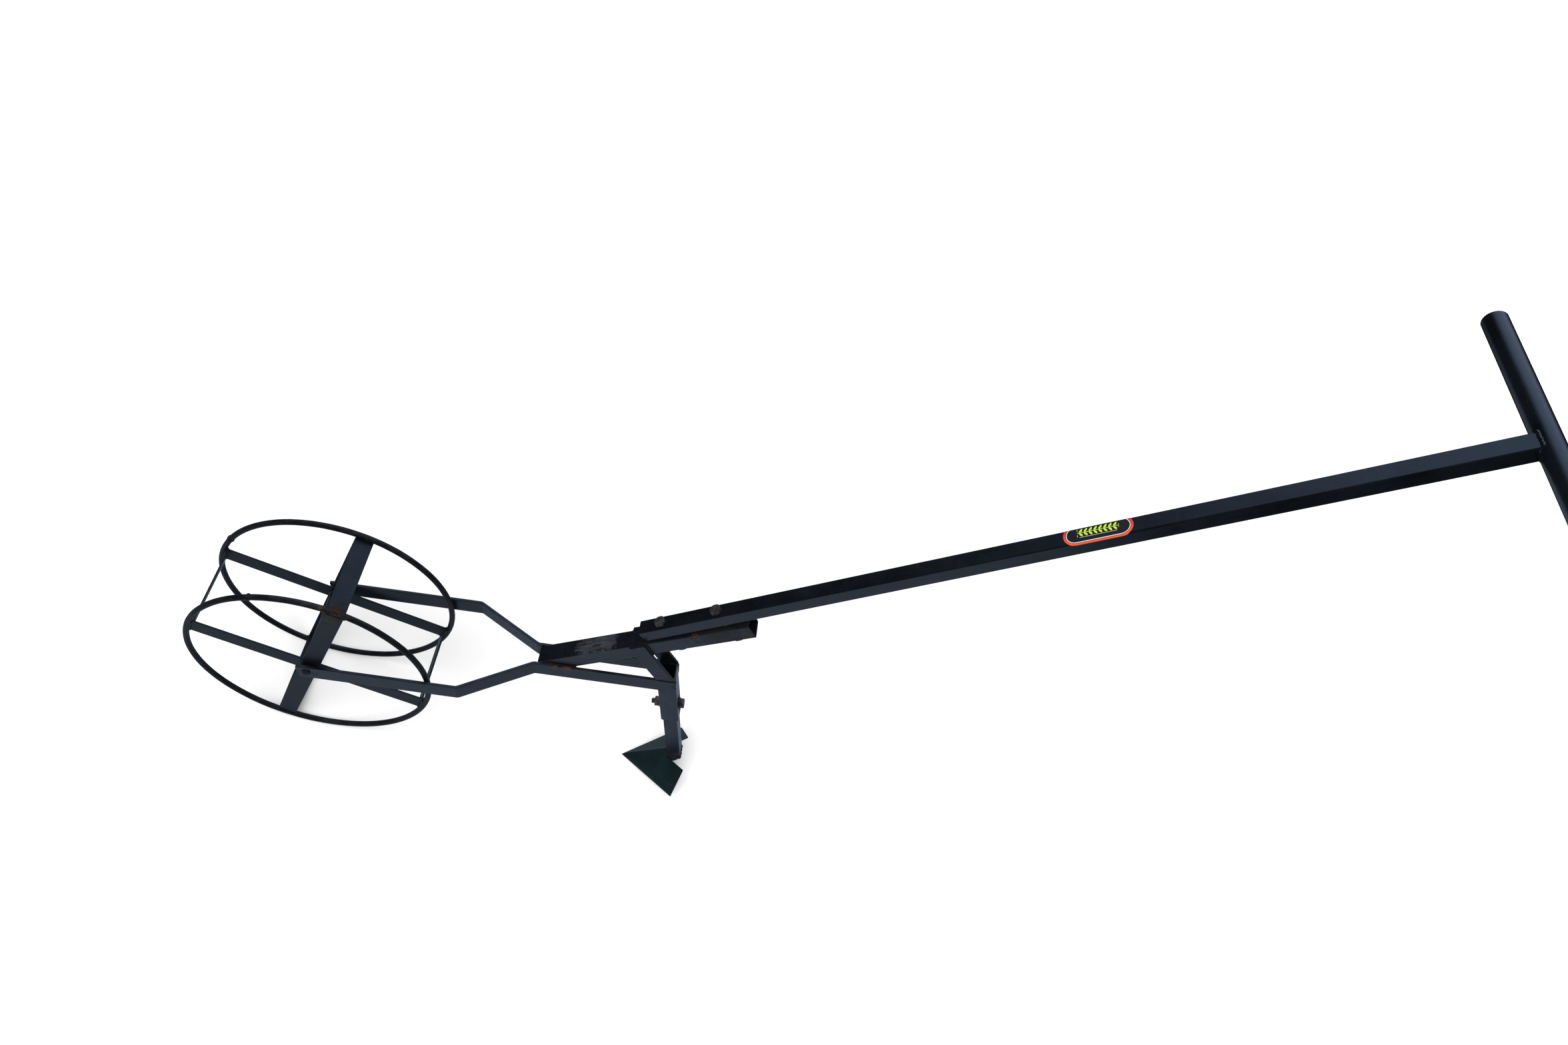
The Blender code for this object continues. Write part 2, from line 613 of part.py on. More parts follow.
def main():
    for thing in list(bpy.data.objects):
        bpy.data.objects.remove(thing)
    black = paint("black_enamel", (0.018, 0.020, 0.024), 0.32, 0.0)
    green = paint("green_black_enamel", (0.012, 0.022, 0.022), 0.40, 0.0)
    steel = paint("oiled_steel", (0.16, 0.15, 0.14), 0.50, 0.9)
    red = paint("label_print", (0.45, 0.03, 0.02), 0.35, 0.0)
    axle_place = Vector((AXLE_X, 0, RING_OUTER))
    wheel_axes = empty("wheel_axes", None, axle_place, 0)
    fork_axes = empty("fork_axes", None, axle_place, PITCH)
    beam_axes = empty("beam_axes", fork_axes, (BEAM_NOSE_X, 0, BEAM_NOSE_Z), BEAM_ANGLE)
    foot = handle_point(0, 0)
    handle_axes = empty("handle_axes", fork_axes, (foot[0], 0, foot[1]), HANDLE_ANGLE)
    sleeve_axes = empty("sleeve_axes", fork_axes, (SLEEVE_X, 0, SLEEVE_Z), SLEEVE_TILT)
    tool_axes = empty("tool_axes", fork_axes, (SLEEVE_X, 0, SLEEVE_Z), SLEEVE_TILT)
    build_wheel(wheel_axes, black)
    build_fork(fork_axes, black)
    build_beam(beam_axes, black)
    build_handle(handle_axes, black, steel, red)
    build_sleeve(sleeve_axes, black)
    build_tool(tool_axes, black, green, steel)
    bpy.context.view_layer.update()


main()
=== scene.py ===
"""Looks of the cage-wheel hoe: enamelled steel, welds, fasteners, a printed label and a plain studio.

Every piece is made in metres in the CAD's own frame and rides on one of its bodies.
"""
from __future__ import annotations

import logging
import random
from dataclasses import dataclass
from enum import Enum
from math import asin, atan2, ceil, cos, floor, hypot, pi, radians, sin, sqrt, tan
from typing import Callable, Iterable, Sequence

import bmesh
import bpy
from mathutils import Matrix, Vector, noise


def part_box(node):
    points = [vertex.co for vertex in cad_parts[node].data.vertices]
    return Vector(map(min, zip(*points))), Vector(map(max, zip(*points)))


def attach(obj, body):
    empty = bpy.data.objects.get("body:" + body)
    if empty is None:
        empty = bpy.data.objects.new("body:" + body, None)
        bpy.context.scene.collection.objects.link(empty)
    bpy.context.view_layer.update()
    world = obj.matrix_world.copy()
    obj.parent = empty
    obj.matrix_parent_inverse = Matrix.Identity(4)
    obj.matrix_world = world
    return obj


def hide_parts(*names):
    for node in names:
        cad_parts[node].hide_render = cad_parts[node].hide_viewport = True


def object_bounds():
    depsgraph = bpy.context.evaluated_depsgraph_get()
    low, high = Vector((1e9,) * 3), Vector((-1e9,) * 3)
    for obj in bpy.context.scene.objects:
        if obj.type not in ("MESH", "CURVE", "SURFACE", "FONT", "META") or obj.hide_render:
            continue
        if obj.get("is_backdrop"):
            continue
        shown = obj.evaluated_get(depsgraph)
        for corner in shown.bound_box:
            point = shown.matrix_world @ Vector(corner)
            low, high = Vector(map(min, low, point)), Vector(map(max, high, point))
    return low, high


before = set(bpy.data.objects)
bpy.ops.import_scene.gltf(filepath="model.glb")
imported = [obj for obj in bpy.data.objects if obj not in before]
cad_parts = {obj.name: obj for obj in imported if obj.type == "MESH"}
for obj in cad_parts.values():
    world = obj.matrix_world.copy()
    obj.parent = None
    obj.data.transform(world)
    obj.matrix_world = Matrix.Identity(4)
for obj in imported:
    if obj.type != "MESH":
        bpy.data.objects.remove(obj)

LOG = logging.getLogger("hoe")
Colour = tuple[float, float, float]
Flat = tuple[float, float]
Place = Callable[[float, float, float], Vector]


class Body(Enum):
    """Bodies of the CAD model that a piece can ride on."""

    FRAME = "frame"
    WHEEL = "wheel"
    TOOL = "tool"


class Slot(Enum):
    """Material slots of the record."""

    BLACK = "black_enamel"
    GREEN = "green_black_enamel"
    STEEL = "oiled_steel"
    LABEL = "label_print"


class Side(Enum):
    """The two hands of the tool, with the sign of their y."""

    LEFT = -1
    RIGHT = 1

    @property
    def word(self) -> str:
        """The side's name as it stands in the CAD's nodes."""
        return self.name.lower()


# ---- sizes shared by the sub-assemblies
@dataclass(frozen=True)
class Layout:
    """Places of the sub-assemblies in the fork's axes: x to the rear, z up from the axle."""

    gap: float = 0.0003
    ring_radius: float = 0.1985
    rod: float = 0.010
    spacing: float = 0.1475
    flat_width: float = 0.030
    flat_thick: float = 0.003
    spoke_tilt: float = radians(24.6)
    arm_height: float = 0.032
    arm_thick: float = 0.005
    arm_nose: float = 0.016
    arm_spread: float = 0.1696
    arm_bend_x: float = 0.2513
    arm_join_x: float = 0.3657
    nose_x: float = 0.3716
    nose_z: float = 0.0147
    tube_width: float = 0.032
    beam_angle: float = radians(29.65)
    beam_length: float = 0.3936
    handle_start: float = 0.2116
    handle_lift: float = radians(2.9)
    handle_width: float = 0.025
    handle_length: float = 1.215
    grip_dia: float = 0.031
    bolt_first: float = 0.041
    bolt_pitch: float = 0.102
    bolt_hole: float = 0.0053
    axle_dia: float = 0.012
    sleeve_x: float = 0.590
    sleeve_z: float = 0.0157
    sleeve_length: float = 0.1455
    sleeve_tilt: float = radians(4.05)
    clamp_depth: float = 0.107
    shank_width: float = 0.025
    blade_drop: float = 0.3349
    blade_ahead: float = 0.0808
    blade_thick: float = 0.0045

    @property
    def axle(self) -> Vector:
        """Middle of the axle, from the CAD's axle rod."""
        low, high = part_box("axle_rod")
        return (low + high) / 2

    @property
    def arm_side(self) -> float:
        """Middle of an arm's thickness beside the beam and the sleeve."""
        return self.tube_width / 2 + self.gap + self.arm_thick / 2

    @property
    def pitch(self) -> float:
        """Lift of the fork's rear that stands wheel and blade point on the ground."""
        drop = self.sleeve_z - self.blade_drop - self.blade_thick
        ahead = self.sleeve_x - self.blade_ahead
        return atan2(-drop, ahead) - asin((self.ring_radius + self.rod / 2) / hypot(ahead, drop))

    @property
    def wheel(self) -> Matrix:
        """Wheel axes, level with the ground."""
        return Matrix.Translation(self.axle)

    @property
    def fork(self) -> Matrix:
        """Fork axes, pitched about the axle."""
        return self.wheel @ Matrix.Rotation(-self.pitch, 4, "Y")

    @property
    def beam(self) -> Matrix:
        """Beam axes: x along the beam from its nose, z up from its top face."""
        nose = Matrix.Translation((self.nose_x, 0, self.nose_z))
        return self.fork @ nose @ Matrix.Rotation(-self.beam_angle, 4, "Y")

    @property
    def handle(self) -> Matrix:
        """Handle axes: x along the handle, z up from its lower face."""
        foot = Matrix.Translation((self.handle_start, 0, self.gap))
        return self.beam @ foot @ Matrix.Rotation(-self.handle_lift, 4, "Y")

    @property
    def sleeve(self) -> Matrix:
        """Sleeve and tool axes: z up along the sleeve from its top centre."""
        top = Matrix.Translation((self.sleeve_x, 0, self.sleeve_z))
        return self.fork @ top @ Matrix.Rotation(-self.sleeve_tilt, 4, "Y")

    @property
    def flat_reach(self) -> float:
        """Half length of a spoke, to where its corners meet the ring."""
        inside = self.ring_radius - self.rod / 2 - self.gap
        return sqrt(inside ** 2 - (self.flat_width / 2) ** 2)

    @property
    def grip_centre(self) -> float:
        """Middle of the grip along the handle."""
        return self.handle_length + self.grip_dia / 2

    def in_tool(self, x: float, y: float, z: float) -> Vector:
        """Turns a point square to the fork, from the sleeve's top, into the tilted tool axes.

        Args:
            x: Distance to the rear.
            y: Distance to the right.
            z: Height.

        Returns:
            The point in sleeve axes.
        """
        c, s = cos(self.sleeve_tilt), sin(self.sleeve_tilt)
        return Vector((x * c + z * s, y, z * c - x * s))


# ---- outlines and paths
def rounded_box(width: float, height: float, radius: float, steps: int = 4) -> list[Flat]:
    """Outline of a rectangle with rounded corners, counter-clockwise.

    Args:
        width: Size along the first axis.
        height: Size along the second axis.
        radius: Radius of the corners.
        steps: Straight pieces in each corner.

    Returns:
        The outline's points.
    """
    points = []
    for k, (a, b) in enumerate(((1, 1), (-1, 1), (-1, -1), (1, -1))):
        centre = (a * (width / 2 - radius), b * (height / 2 - radius))
        for i in range(steps + 1):
            turn = (k + i / steps) * pi / 2
            points.append((centre[0] + radius * cos(turn), centre[1] + radius * sin(turn)))
    return points


def circle(radius: float, steps: int) -> list[Flat]:
    """Points of a circle.

    Args:
        radius: Its radius.
        steps: How many points.

    Returns:
        The points, counter-clockwise.
    """
    return [(radius * cos(2 * pi * i / steps), radius * sin(2 * pi * i / steps)) for i in range(steps)]


def filleted(points: Sequence[Vector], radius: float, steps: int = 8) -> list[Vector]:
    """A path whose inner corners are turned with a bend radius.

    Args:
        points: The path's corners.
        radius: Bend radius on the path's line.
        steps: Straight pieces in each bend.

    Returns:
        The path with its bends.
    """
    path = [points[0]]
    for before, corner, after in zip(points, points[1:], points[2:]):
        first, second = (before - corner).normalized(), (after - corner).normalized()
        half = first.angle(second) / 2
        reach = radius / tan(half)
        start, end = corner + first * reach, corner + second * reach
        for i in range(steps + 1):
            t = i / steps
            path.append(start * (1 - t) ** 2 + corner * 2 * t * (1 - t) + end * t ** 2)
    path.append(points[-1])
    return path


def evenly(path: Sequence[Vector], step: float, closed: bool) -> list[Vector]:
    """Points at even steps along a path.

    Args:
        path: The path's corners.
        step: Wanted distance between points.
        closed: Whether the path ends where it begins.

    Returns:
        The new points.
    """
    corners = list(path) + ([path[0]] if closed else [])
    lengths = [(b - a).length for a, b in zip(corners, corners[1:])]
    total = sum(lengths)
    count = max(3, ceil(total / step))
    points, piece, gone = [], 0, 0.0
    for i in range(count + (0 if closed else 1)):
        want = total * i / count
        while piece < len(lengths) - 1 and gone + lengths[piece] < want:
            gone += lengths[piece]
            piece += 1
        share = (want - gone) / max(lengths[piece], 1e-9)
        points.append(corners[piece].lerp(corners[piece + 1], min(share, 1.0)))
    return points


# ---- mesh building
class Shell:
    """Vertices and faces gathered for one piece, placed by a matrix."""

    def __init__(self, place: Matrix) -> None:
        """Starts an empty shell whose local points the matrix places in the model.

        Args:
            place: The axes that local points lie in.
        """
        self.place = place
        self.points: list[Vector] = []
        self.faces: list[tuple[int, ...]] = []
        self.worn: set[int] = set()

    def add(self, other: Shell) -> Shell:
        """Takes in another shell's placed points and faces.

        Args:
            other: The shell to take in.

        Returns:
            This shell.
        """
        base, first = len(self.points), len(self.faces)
        self.points.extend(other.points)
        self.faces.extend(tuple(base + k for k in face) for face in other.faces)
        self.worn.update(first + k for k in other.worn)
        return self

    def rows(self, rows: Sequence[Sequence[Vector]], loop: bool = False, ends: bool = True,
            marked: set[int] | None = None, rims: set[int] | None = None) -> Shell:
        """Joins rows of points, each a closed ring, into a skin.

        Args:
            rows: Rings with the same number of points.
            loop: Whether the last ring joins the first.
            ends: Whether the first and last rings are closed with a face.
            marked: Columns whose faces wear as edges do.
            rims: Rows whose faces wear as edges do.

        Returns:
            This shell.
        """
        base, width = len(self.points), len(rows[0])
        marked, rims = marked or set(), rims or set()
        for row in rows:
            self.points.extend(self.place @ point for point in row)
        last = len(rows) if loop else len(rows) - 1
        for i in range(last):
            here, there = base + i * width, base + (i + 1) % len(rows) * width
            for k in range(width):
                m = (k + 1) % width
                if k in marked or i in rims:
                    self.worn.add(len(self.faces))
                self.faces.append((here + k, here + m, there + m, there + k))
        if ends and not loop:
            self.faces.append(tuple(base + k for k in reversed(range(width))))
            top = base + (len(rows) - 1) * width
            self.faces.append(tuple(top + k for k in range(width)))
        return self

    def swept(self, section: Sequence[Flat], path: Sequence[Vector], up: Vector, ease: float = 0.0,
            marked: set[int] | None = None) -> Shell:
        """Carries a section along a path.

        Args:
            section: Outline across the path: to its side, and up.
            path: Points that the section's middle follows.
            up: Direction that the outline's second axis keeps.
            ease: Chamfer at both ends.
            marked: Columns of the section whose faces wear as edges do.

        Returns:
            This shell.
        """
        rows = []
        for i, point in enumerate(path):
            ahead = (path[min(i + 1, len(path) - 1)] - path[max(i - 1, 0)]).normalized()
            side = up.cross(ahead).normalized()
            lift = ahead.cross(side)
            stretch = 1.0
            if 0 < i < len(path) - 1:
                bend = (path[i + 1] - point).angle(point - path[i - 1])
                stretch = 1 / cos(bend / 2)
            rows.append([point + side * a * stretch + lift * b for a, b in section])
        if ease:
            for end, inner in ((0, 1), (-1, -2)):
                middle = sum(rows[end], Vector()) / len(section)
                inward = (path[inner] - path[end]).normalized() * ease
                small = [p + (middle - p).normalized() * ease for p in rows[end]]
                rows[end] = [p + inward for p in rows[end]]
                rows.insert(0, small) if end == 0 else rows.append(small)
        return self.rows(rows, marked=marked, rims={0, len(rows) - 2} if ease else None)

    def turned(self, profile: Sequence[Flat], steps: int, place: Place) -> Shell:
        """Turns an open profile that starts and ends on the axis.

        Args:
            profile: (radius, height) points; the first and last lie on the axis.
            steps: Points round the axis.
            place: Maps two points across and a height to a local point.

        Returns:
            This shell.
        """
        base = len(self.points)
        self.points.append(self.place @ place(0, 0, profile[0][1]))
        self.points.append(self.place @ place(0, 0, profile[-1][1]))
        inner = profile[1:-1]
        for radius, height in inner:
            self.points.extend(self.place @ place(a, b, height) for a, b in circle(radius, steps))
        start = base + 2
        for k in range(steps):
            m = (k + 1) % steps
            self.faces.append((base, start + m, start + k))
            top = start + (len(inner) - 1) * steps
            self.faces.append((base + 1, top + k, top + m))
            for i in range(len(inner) - 1):
                here, there = start + i * steps, start + (i + 1) * steps
                self.faces.append((here + k, here + m, there + m, there + k))
        return self

    def turned_ring(self, section: Sequence[Flat], steps: int, place: Place) -> Shell:
        """Turns a closed section once round the axis.

        Args:
            section: (radius, height) points of the closed section.
            steps: Points round the axis.
            place: Maps two points across and a height to a local point.

        Returns:
            This shell.
        """
        rows = []
        for i in range(steps):
            c, s = cos(2 * pi * i / steps), sin(2 * pi * i / steps)
            rows.append([place(r * c, r * s, h) for r, h in section])
        return self.rows(rows, loop=True)

    def mesh(self, name: str) -> bpy.types.Mesh:
        """The shell as a mesh with its faces turned outward.

        Args:
            name: The mesh's name.

        Returns:
            The mesh.
        """
        data = bpy.data.meshes.new(name)
        data.from_pydata([tuple(p) for p in self.points], [], self.faces)
        work = bmesh.new()
        work.from_mesh(data)
        layer = work.faces.layers.float.new("edge")
        work.faces.ensure_lookup_table()
        for index in self.worn:
            work.faces[index][layer] = 1.0
        bmesh.ops.recalc_face_normals(work, faces=work.faces)
        work.to_mesh(data)
        work.free()
        return data


def across_x(a: float, b: float, height: float) -> Vector:
    """A point whose height runs along x."""
    return Vector((height, a, b))


def across_y(a: float, b: float, height: float) -> Vector:
    """A point whose height runs along y."""
    return Vector((a, height, b))


def across_z(a: float, b: float, height: float) -> Vector:
    """A point whose height runs along z."""
    return Vector((a, b, height))


def cut(data: bpy.types.Mesh, tools: Iterable[bpy.types.Mesh]) -> bpy.types.Mesh:
    """Cuts solids out of a mesh.

    Args:
        data: The mesh to cut.
        tools: The solids to take away.

    Returns:
        The cut mesh.
    """
    base = bpy.data.objects.new("cut", data)
    bpy.context.scene.collection.objects.link(base)
    scraps = [base]
    for tool in tools:
        solid = bpy.data.objects.new("tool", tool)
        bpy.context.scene.collection.objects.link(solid)
        modifier = base.modifiers.new("cut", "BOOLEAN")
        modifier.operation = "DIFFERENCE"
        modifier.object = solid
        scraps.append(solid)
    bpy.context.view_layer.update()
    seen = base.evaluated_get(bpy.context.evaluated_depsgraph_get())
    result = bpy.data.meshes.new_from_object(seen)
    for thing in scraps:
        bpy.data.objects.remove(thing)
    return result


def eased(data: bpy.types.Mesh, width: float, sharp: float = radians(40),
        segments: int = 2) -> bpy.types.Mesh:
    """Rounds the sharp edges of a solid and marks the rounded faces as edge faces.

    Args:
        data: The solid.
        width: Width taken off each edge.
        sharp: Edges at a wider angle than this are rounded.
        segments: Faces across each rounded edge.

    Returns:
        The same mesh with its edges rounded.
    """
    work = bmesh.new()
    work.from_mesh(data)
    bmesh.ops.remove_doubles(work, verts=work.verts, dist=1e-6)
    bmesh.ops.dissolve_limit(work, angle_limit=radians(0.5), verts=work.verts, edges=work.edges)
    layer = work.faces.layers.float.get("edge") or work.faces.layers.float.new("edge")
    edges = [e for e in work.edges if e.is_manifold and e.calc_face_angle(0) > sharp]
    made = bmesh.ops.bevel(work, geom=edges, offset=width, segments=segments, profile=0.5,
            affect="EDGES", clamp_overlap=True)
    for face in made["faces"]:
        face[layer] = 1.0
    bmesh.ops.recalc_face_normals(work, faces=work.faces)
    work.to_mesh(data)
    work.free()
    return data


def cad_copy(node: str) -> bpy.types.Mesh:
    """A plain copy of a CAD node's mesh, without its normals or material.

    Args:
        node: The CAD node's name.

    Returns:
        The copy.
    """
    data = bpy.data.meshes.new(node)
    work = bmesh.new()
    work.from_mesh(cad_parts[node].data)
    bmesh.ops.remove_doubles(work, verts=work.verts, dist=1e-6)
    for layer in list(work.loops.layers.uv.values()):
        work.loops.layers.uv.remove(layer)
    work.to_mesh(data)
    work.free()
    return data


def show(node: str, kind: str, data: bpy.types.Mesh, body: Body, slot: Slot, material: bpy.types.Material,
        crease: float = radians(38)) -> None:
    """Puts a mesh in the scene as a piece that rides on a body.

    Args:
        node: The CAD node that it stands for, or its own name if it stands for none.
        kind: How it is made, for the end of its name; empty if it stands for no node.
        data: Its mesh, in the model's frame.
        body: The body it rides on.
        slot: The record's slot of its finish; not used.
        material: Its material.
        crease: Angle over which an edge stays sharp.
    """
    name = f"{node}_{kind}" if kind else node
    data.materials.clear()
    data.materials.append(material)
    data.shade_smooth()
    data.set_sharp_from_angle(angle=crease)
    thing = bpy.data.objects.new(name, data)
    bpy.context.scene.collection.objects.link(thing)
    weighted = thing.modifiers.new("normals", "WEIGHTED_NORMAL")
    weighted.keep_sharp = True
    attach(thing, body.value)
    if kind:
        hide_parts(node)
    LOG.info("%s: %d faces on %s", name, len(data.polygons), body.value)


# ---- welds
# How far a bead's middle stands off the face, edge or round part that it lies along.
OFF_FACE = 0.0006
OFF_EDGE = 0.0004
OFF_ROUND = 0.0003


@dataclass(frozen=True)
class Bead:
    """How a hand-laid weld bead looks."""

    radius: float = 0.0023
    ripple: float = 0.0022
    depth: float = 0.12
    lumps: float = 0.16
    sides: int = 10
    steps: int = 4


class Welds:
    """Weld beads and spatter gathered for one piece."""

    def __init__(self, place: Matrix, seed: int) -> None:
        """Starts with no beads; the seed fixes their lumps."""
        self.shell = Shell(place)
        self.draw = random.Random(seed)

    def bead(self, path: Sequence[Vector], style: Bead = Bead(), closed: bool = False) -> Welds:
        """Lays a rippled bead along a path.

        Args:
            path: The line of the bead's middle.
            style: Its size and ripples.
            closed: Whether it runs right round.

        Returns:
            These welds.
        """
        points = evenly(path, style.ripple / style.steps, closed)
        count = len(points)
        drift = Vector([self.draw.uniform(0, 50) for _ in range(3)])
        side = Vector((0.31, 0.67, 0.54)).normalized()
        length, rows = 0.0, []
        total = sum((b - a).length for a, b in zip(points, points[1:]))
        for i, point in enumerate(points):
            after = points[(i + 1) % count] if closed else points[min(i + 1, count - 1)]
            before = points[i - 1] if closed or i else points[0]
            ahead = (after - before).normalized()
            side = (side - ahead * side.dot(ahead)).normalized()
            lift = ahead.cross(side)
            if i:
                length += (point - points[i - 1]).length
            beat = abs(sin(pi * length / style.ripple))
            lump = noise.noise(drift + point * 420)
            radius = style.radius * (1 + style.depth * (beat - 0.6) + style.lumps * lump)
            if not closed:
                left = min(length, total - length) / style.radius
                radius *= sqrt(max(0.06, 1 - (1 - min(left, 1.0)) ** 2))
            wander = noise.noise(drift - point * 260) * style.radius * 0.25
            middle = point + side * wander
            rows.append([middle + side * a + lift * b for a, b in circle(radius, style.sides)])
        self.shell.rows(rows, loop=closed)
        return self

    def spatter(self, centre: Vector, along: Vector, across: Vector, count: int,
            size: float = 0.0009) -> Welds:
        """Scatters small drops of weld over a face.

        Args:
            centre: Middle of the scatter, on the face.
            along: Half reach of the scatter one way.
            across: Half reach the other way.
            count: How many drops.
            size: Radius of a middling drop.

        Returns:
            These welds.
        """
        up = along.cross(across).normalized()
        first = along.normalized()
        second = up.cross(first)
        for _ in range(count):
            spot = centre + along * self.draw.gauss(0, 0.5) + across * self.draw.gauss(0, 0.5)
            radius = size * self.draw.uniform(0.5, 1.3)
            rows = []
            for height, share in ((-0.4, 0.92), (0.15, 1.0), (0.5, 0.8), (0.72, 0.4)):
                rows.append([spot + up * radius * height + first * a + second * b
                        for a, b in circle(radius * share, 7)])
            self.shell.rows(rows)
        return self

    def show(self, name: str, body: Body, slot: Slot, material: bpy.types.Material) -> None:
        """Puts the welds in the scene as one piece."""
        show(name, "", self.shell.mesh(name), body, slot, material, radians(75))


# ---- materials
class Graph:
    """Adds and joins shader nodes in one tree."""

    def __init__(self, tree: bpy.types.NodeTree) -> None:
        """Takes the tree that the nodes go in."""
        self.tree = tree

    def node(self, kind: str, **settings: object) -> bpy.types.Node:
        """A new node of that kind, with its settings.

        Args:
            kind: The node's type.
            settings: Its properties.

        Returns:
            The node.
        """
        made = self.tree.nodes.new(kind)
        for key, value in settings.items():
            setattr(made, key, value)
        return made

    def feed(self, socket: bpy.types.NodeSocket, value: object) -> None:
        """Joins another node's output to a socket, or sets the socket's constant.

        Args:
            socket: The input to feed.
            value: An output, or a constant.
        """
        if isinstance(value, bpy.types.NodeSocket):
            self.tree.links.new(value, socket)
        else:
            socket.default_value = value

    def math(self, operation: str, *terms: object, clamp: bool = False) -> bpy.types.NodeSocket:
        """The result of a Math node.

        Args:
            operation: What it does.
            terms: Outputs or numbers.
            clamp: Whether the result stays from 0 to 1.

        Returns:
            Its output.
        """
        made = self.node("ShaderNodeMath", operation=operation, use_clamp=clamp)
        for socket, term in zip(made.inputs, terms):
            self.feed(socket, term)
        return made.outputs[0]

    def step(self, value: object, low: float, high: float, start: float = 0.0,
            end: float = 1.0) -> bpy.types.NodeSocket:
        """A value taken smoothly from one range to another.

        Args:
            value: What to map.
            low: Where the change starts.
            high: Where it ends.
            start: Result at and before low.
            end: Result at and after high.

        Returns:
            The mapped value.
        """
        made = self.node("ShaderNodeMapRange", interpolation_type="SMOOTHSTEP")
        for socket, term in zip(made.inputs, (value, low, high, start, end)):
            self.feed(socket, term)
        return made.outputs[0]

    def blend(self, share: object, first: object, second: object) -> bpy.types.NodeSocket:
        """A colour between two colours.

        Args:
            share: How much of the second.
            first: The colour at 0.
            second: The colour at 1.

        Returns:
            The mixed colour.
        """
        made = self.node("ShaderNodeMix", data_type="RGBA")
        self.feed(made.inputs[0], share)
        for socket, value in ((made.inputs[6], first), (made.inputs[7], second)):
            self.feed(socket, (*value, 1.0) if isinstance(value, tuple) and len(value) == 3 else value)
        return made.outputs[2]

    def place(self) -> bpy.types.NodeSocket:
        """Object coordinates, which ride with the piece."""
        return self.node("ShaderNodeTexCoord").outputs["Object"]

    def noise(self, vector: object, scale: float, detail: float = 4.0,
            rough: float = 0.55) -> bpy.types.NodeSocket:
        """Fractal noise at a scale per metre.

        Args:
            vector: Where it is read.
            scale: Features to a metre.
            detail: Octaves.
            rough: Share of the fine octaves.

        Returns:
            The noise value.
        """
        made = self.node("ShaderNodeTexNoise")
        self.feed(made.inputs["Vector"], vector)
        made.inputs["Scale"].default_value = scale
        made.inputs["Detail"].default_value = detail
        made.inputs["Roughness"].default_value = rough
        return made.outputs[0]

    def dress(self, shader: bpy.types.Node, colour: object, rough: object, metal: object, height: object,
            strength: float, distance: float) -> None:
        """Feeds a Principled shader.

        Args:
            shader: The shader.
            colour: Its base colour.
            rough: Its roughness.
            metal: Its metallic share.
            height: Height of its bump.
            strength: Strength of its bump.
            distance: Depth of its bump.
        """
        bump = self.node("ShaderNodeBump")
        bump.inputs["Strength"].default_value = strength
        bump.inputs["Distance"].default_value = distance
        self.feed(bump.inputs["Height"], height)
        for socket, value in (("Base Color", colour), ("Roughness", rough), ("Metallic", metal),
                ("Normal", bump.outputs[0])):
            self.feed(shader.inputs[socket], value)

    def group(self, effect: Effect, **values: object) -> bpy.types.Node:
        """An effect's group, with its inputs set or joined.

        Args:
            effect: Which effect.
            values: Its inputs by name.

        Returns:
            The group's node.
        """
        made = self.node("ShaderNodeGroup", node_tree=bpy.data.node_groups[effect.value])
        for key, value in values.items():
            self.feed(made.inputs[key], value)
        return made


def node_material(name: str) -> tuple[bpy.types.Material, Graph, bpy.types.Node]:
    """A new node material.

    Args:
        name: Its name.

    Returns:
        The material, its graph and its Principled shader.
    """
    made = bpy.data.materials.new(name)
    made.use_nodes = True
    return made, Graph(made.node_tree), made.node_tree.nodes["Principled BSDF"]


class Effect(Enum):
    """Shader groups that several finishes share."""

    WORN_EDGE = "worn_edge"
    RUST = "rust_bloom"
    DUST = "settled_dust"
    PAINT = "brushed_paint"
    PATCH = "local_patch"


def effect_tree(effect: Effect, inputs: dict[str, object], outputs: dict[str, str]) -> tuple[Graph,
        bpy.types.Node, bpy.types.Node]:
    """Starts an effect's node group.

    Args:
        effect: Which effect.
        inputs: Input names with their default values; a tuple makes a vector.
        outputs: Output names with their socket types.

    Returns:
        The graph, its input node and its output node.
    """
    tree = bpy.data.node_groups.new(effect.value, "ShaderNodeTree")
    for name, value in inputs.items():
        kind = "NodeSocketVector" if isinstance(value, tuple) else "NodeSocketFloat"
        tree.interface.new_socket(name, in_out="INPUT", socket_type=kind).default_value = value
    for name, kind in outputs.items():
        tree.interface.new_socket(name, in_out="OUTPUT", socket_type=kind)
    graph = Graph(tree)
    return graph, graph.node("NodeGroupInput"), graph.node("NodeGroupOutput")


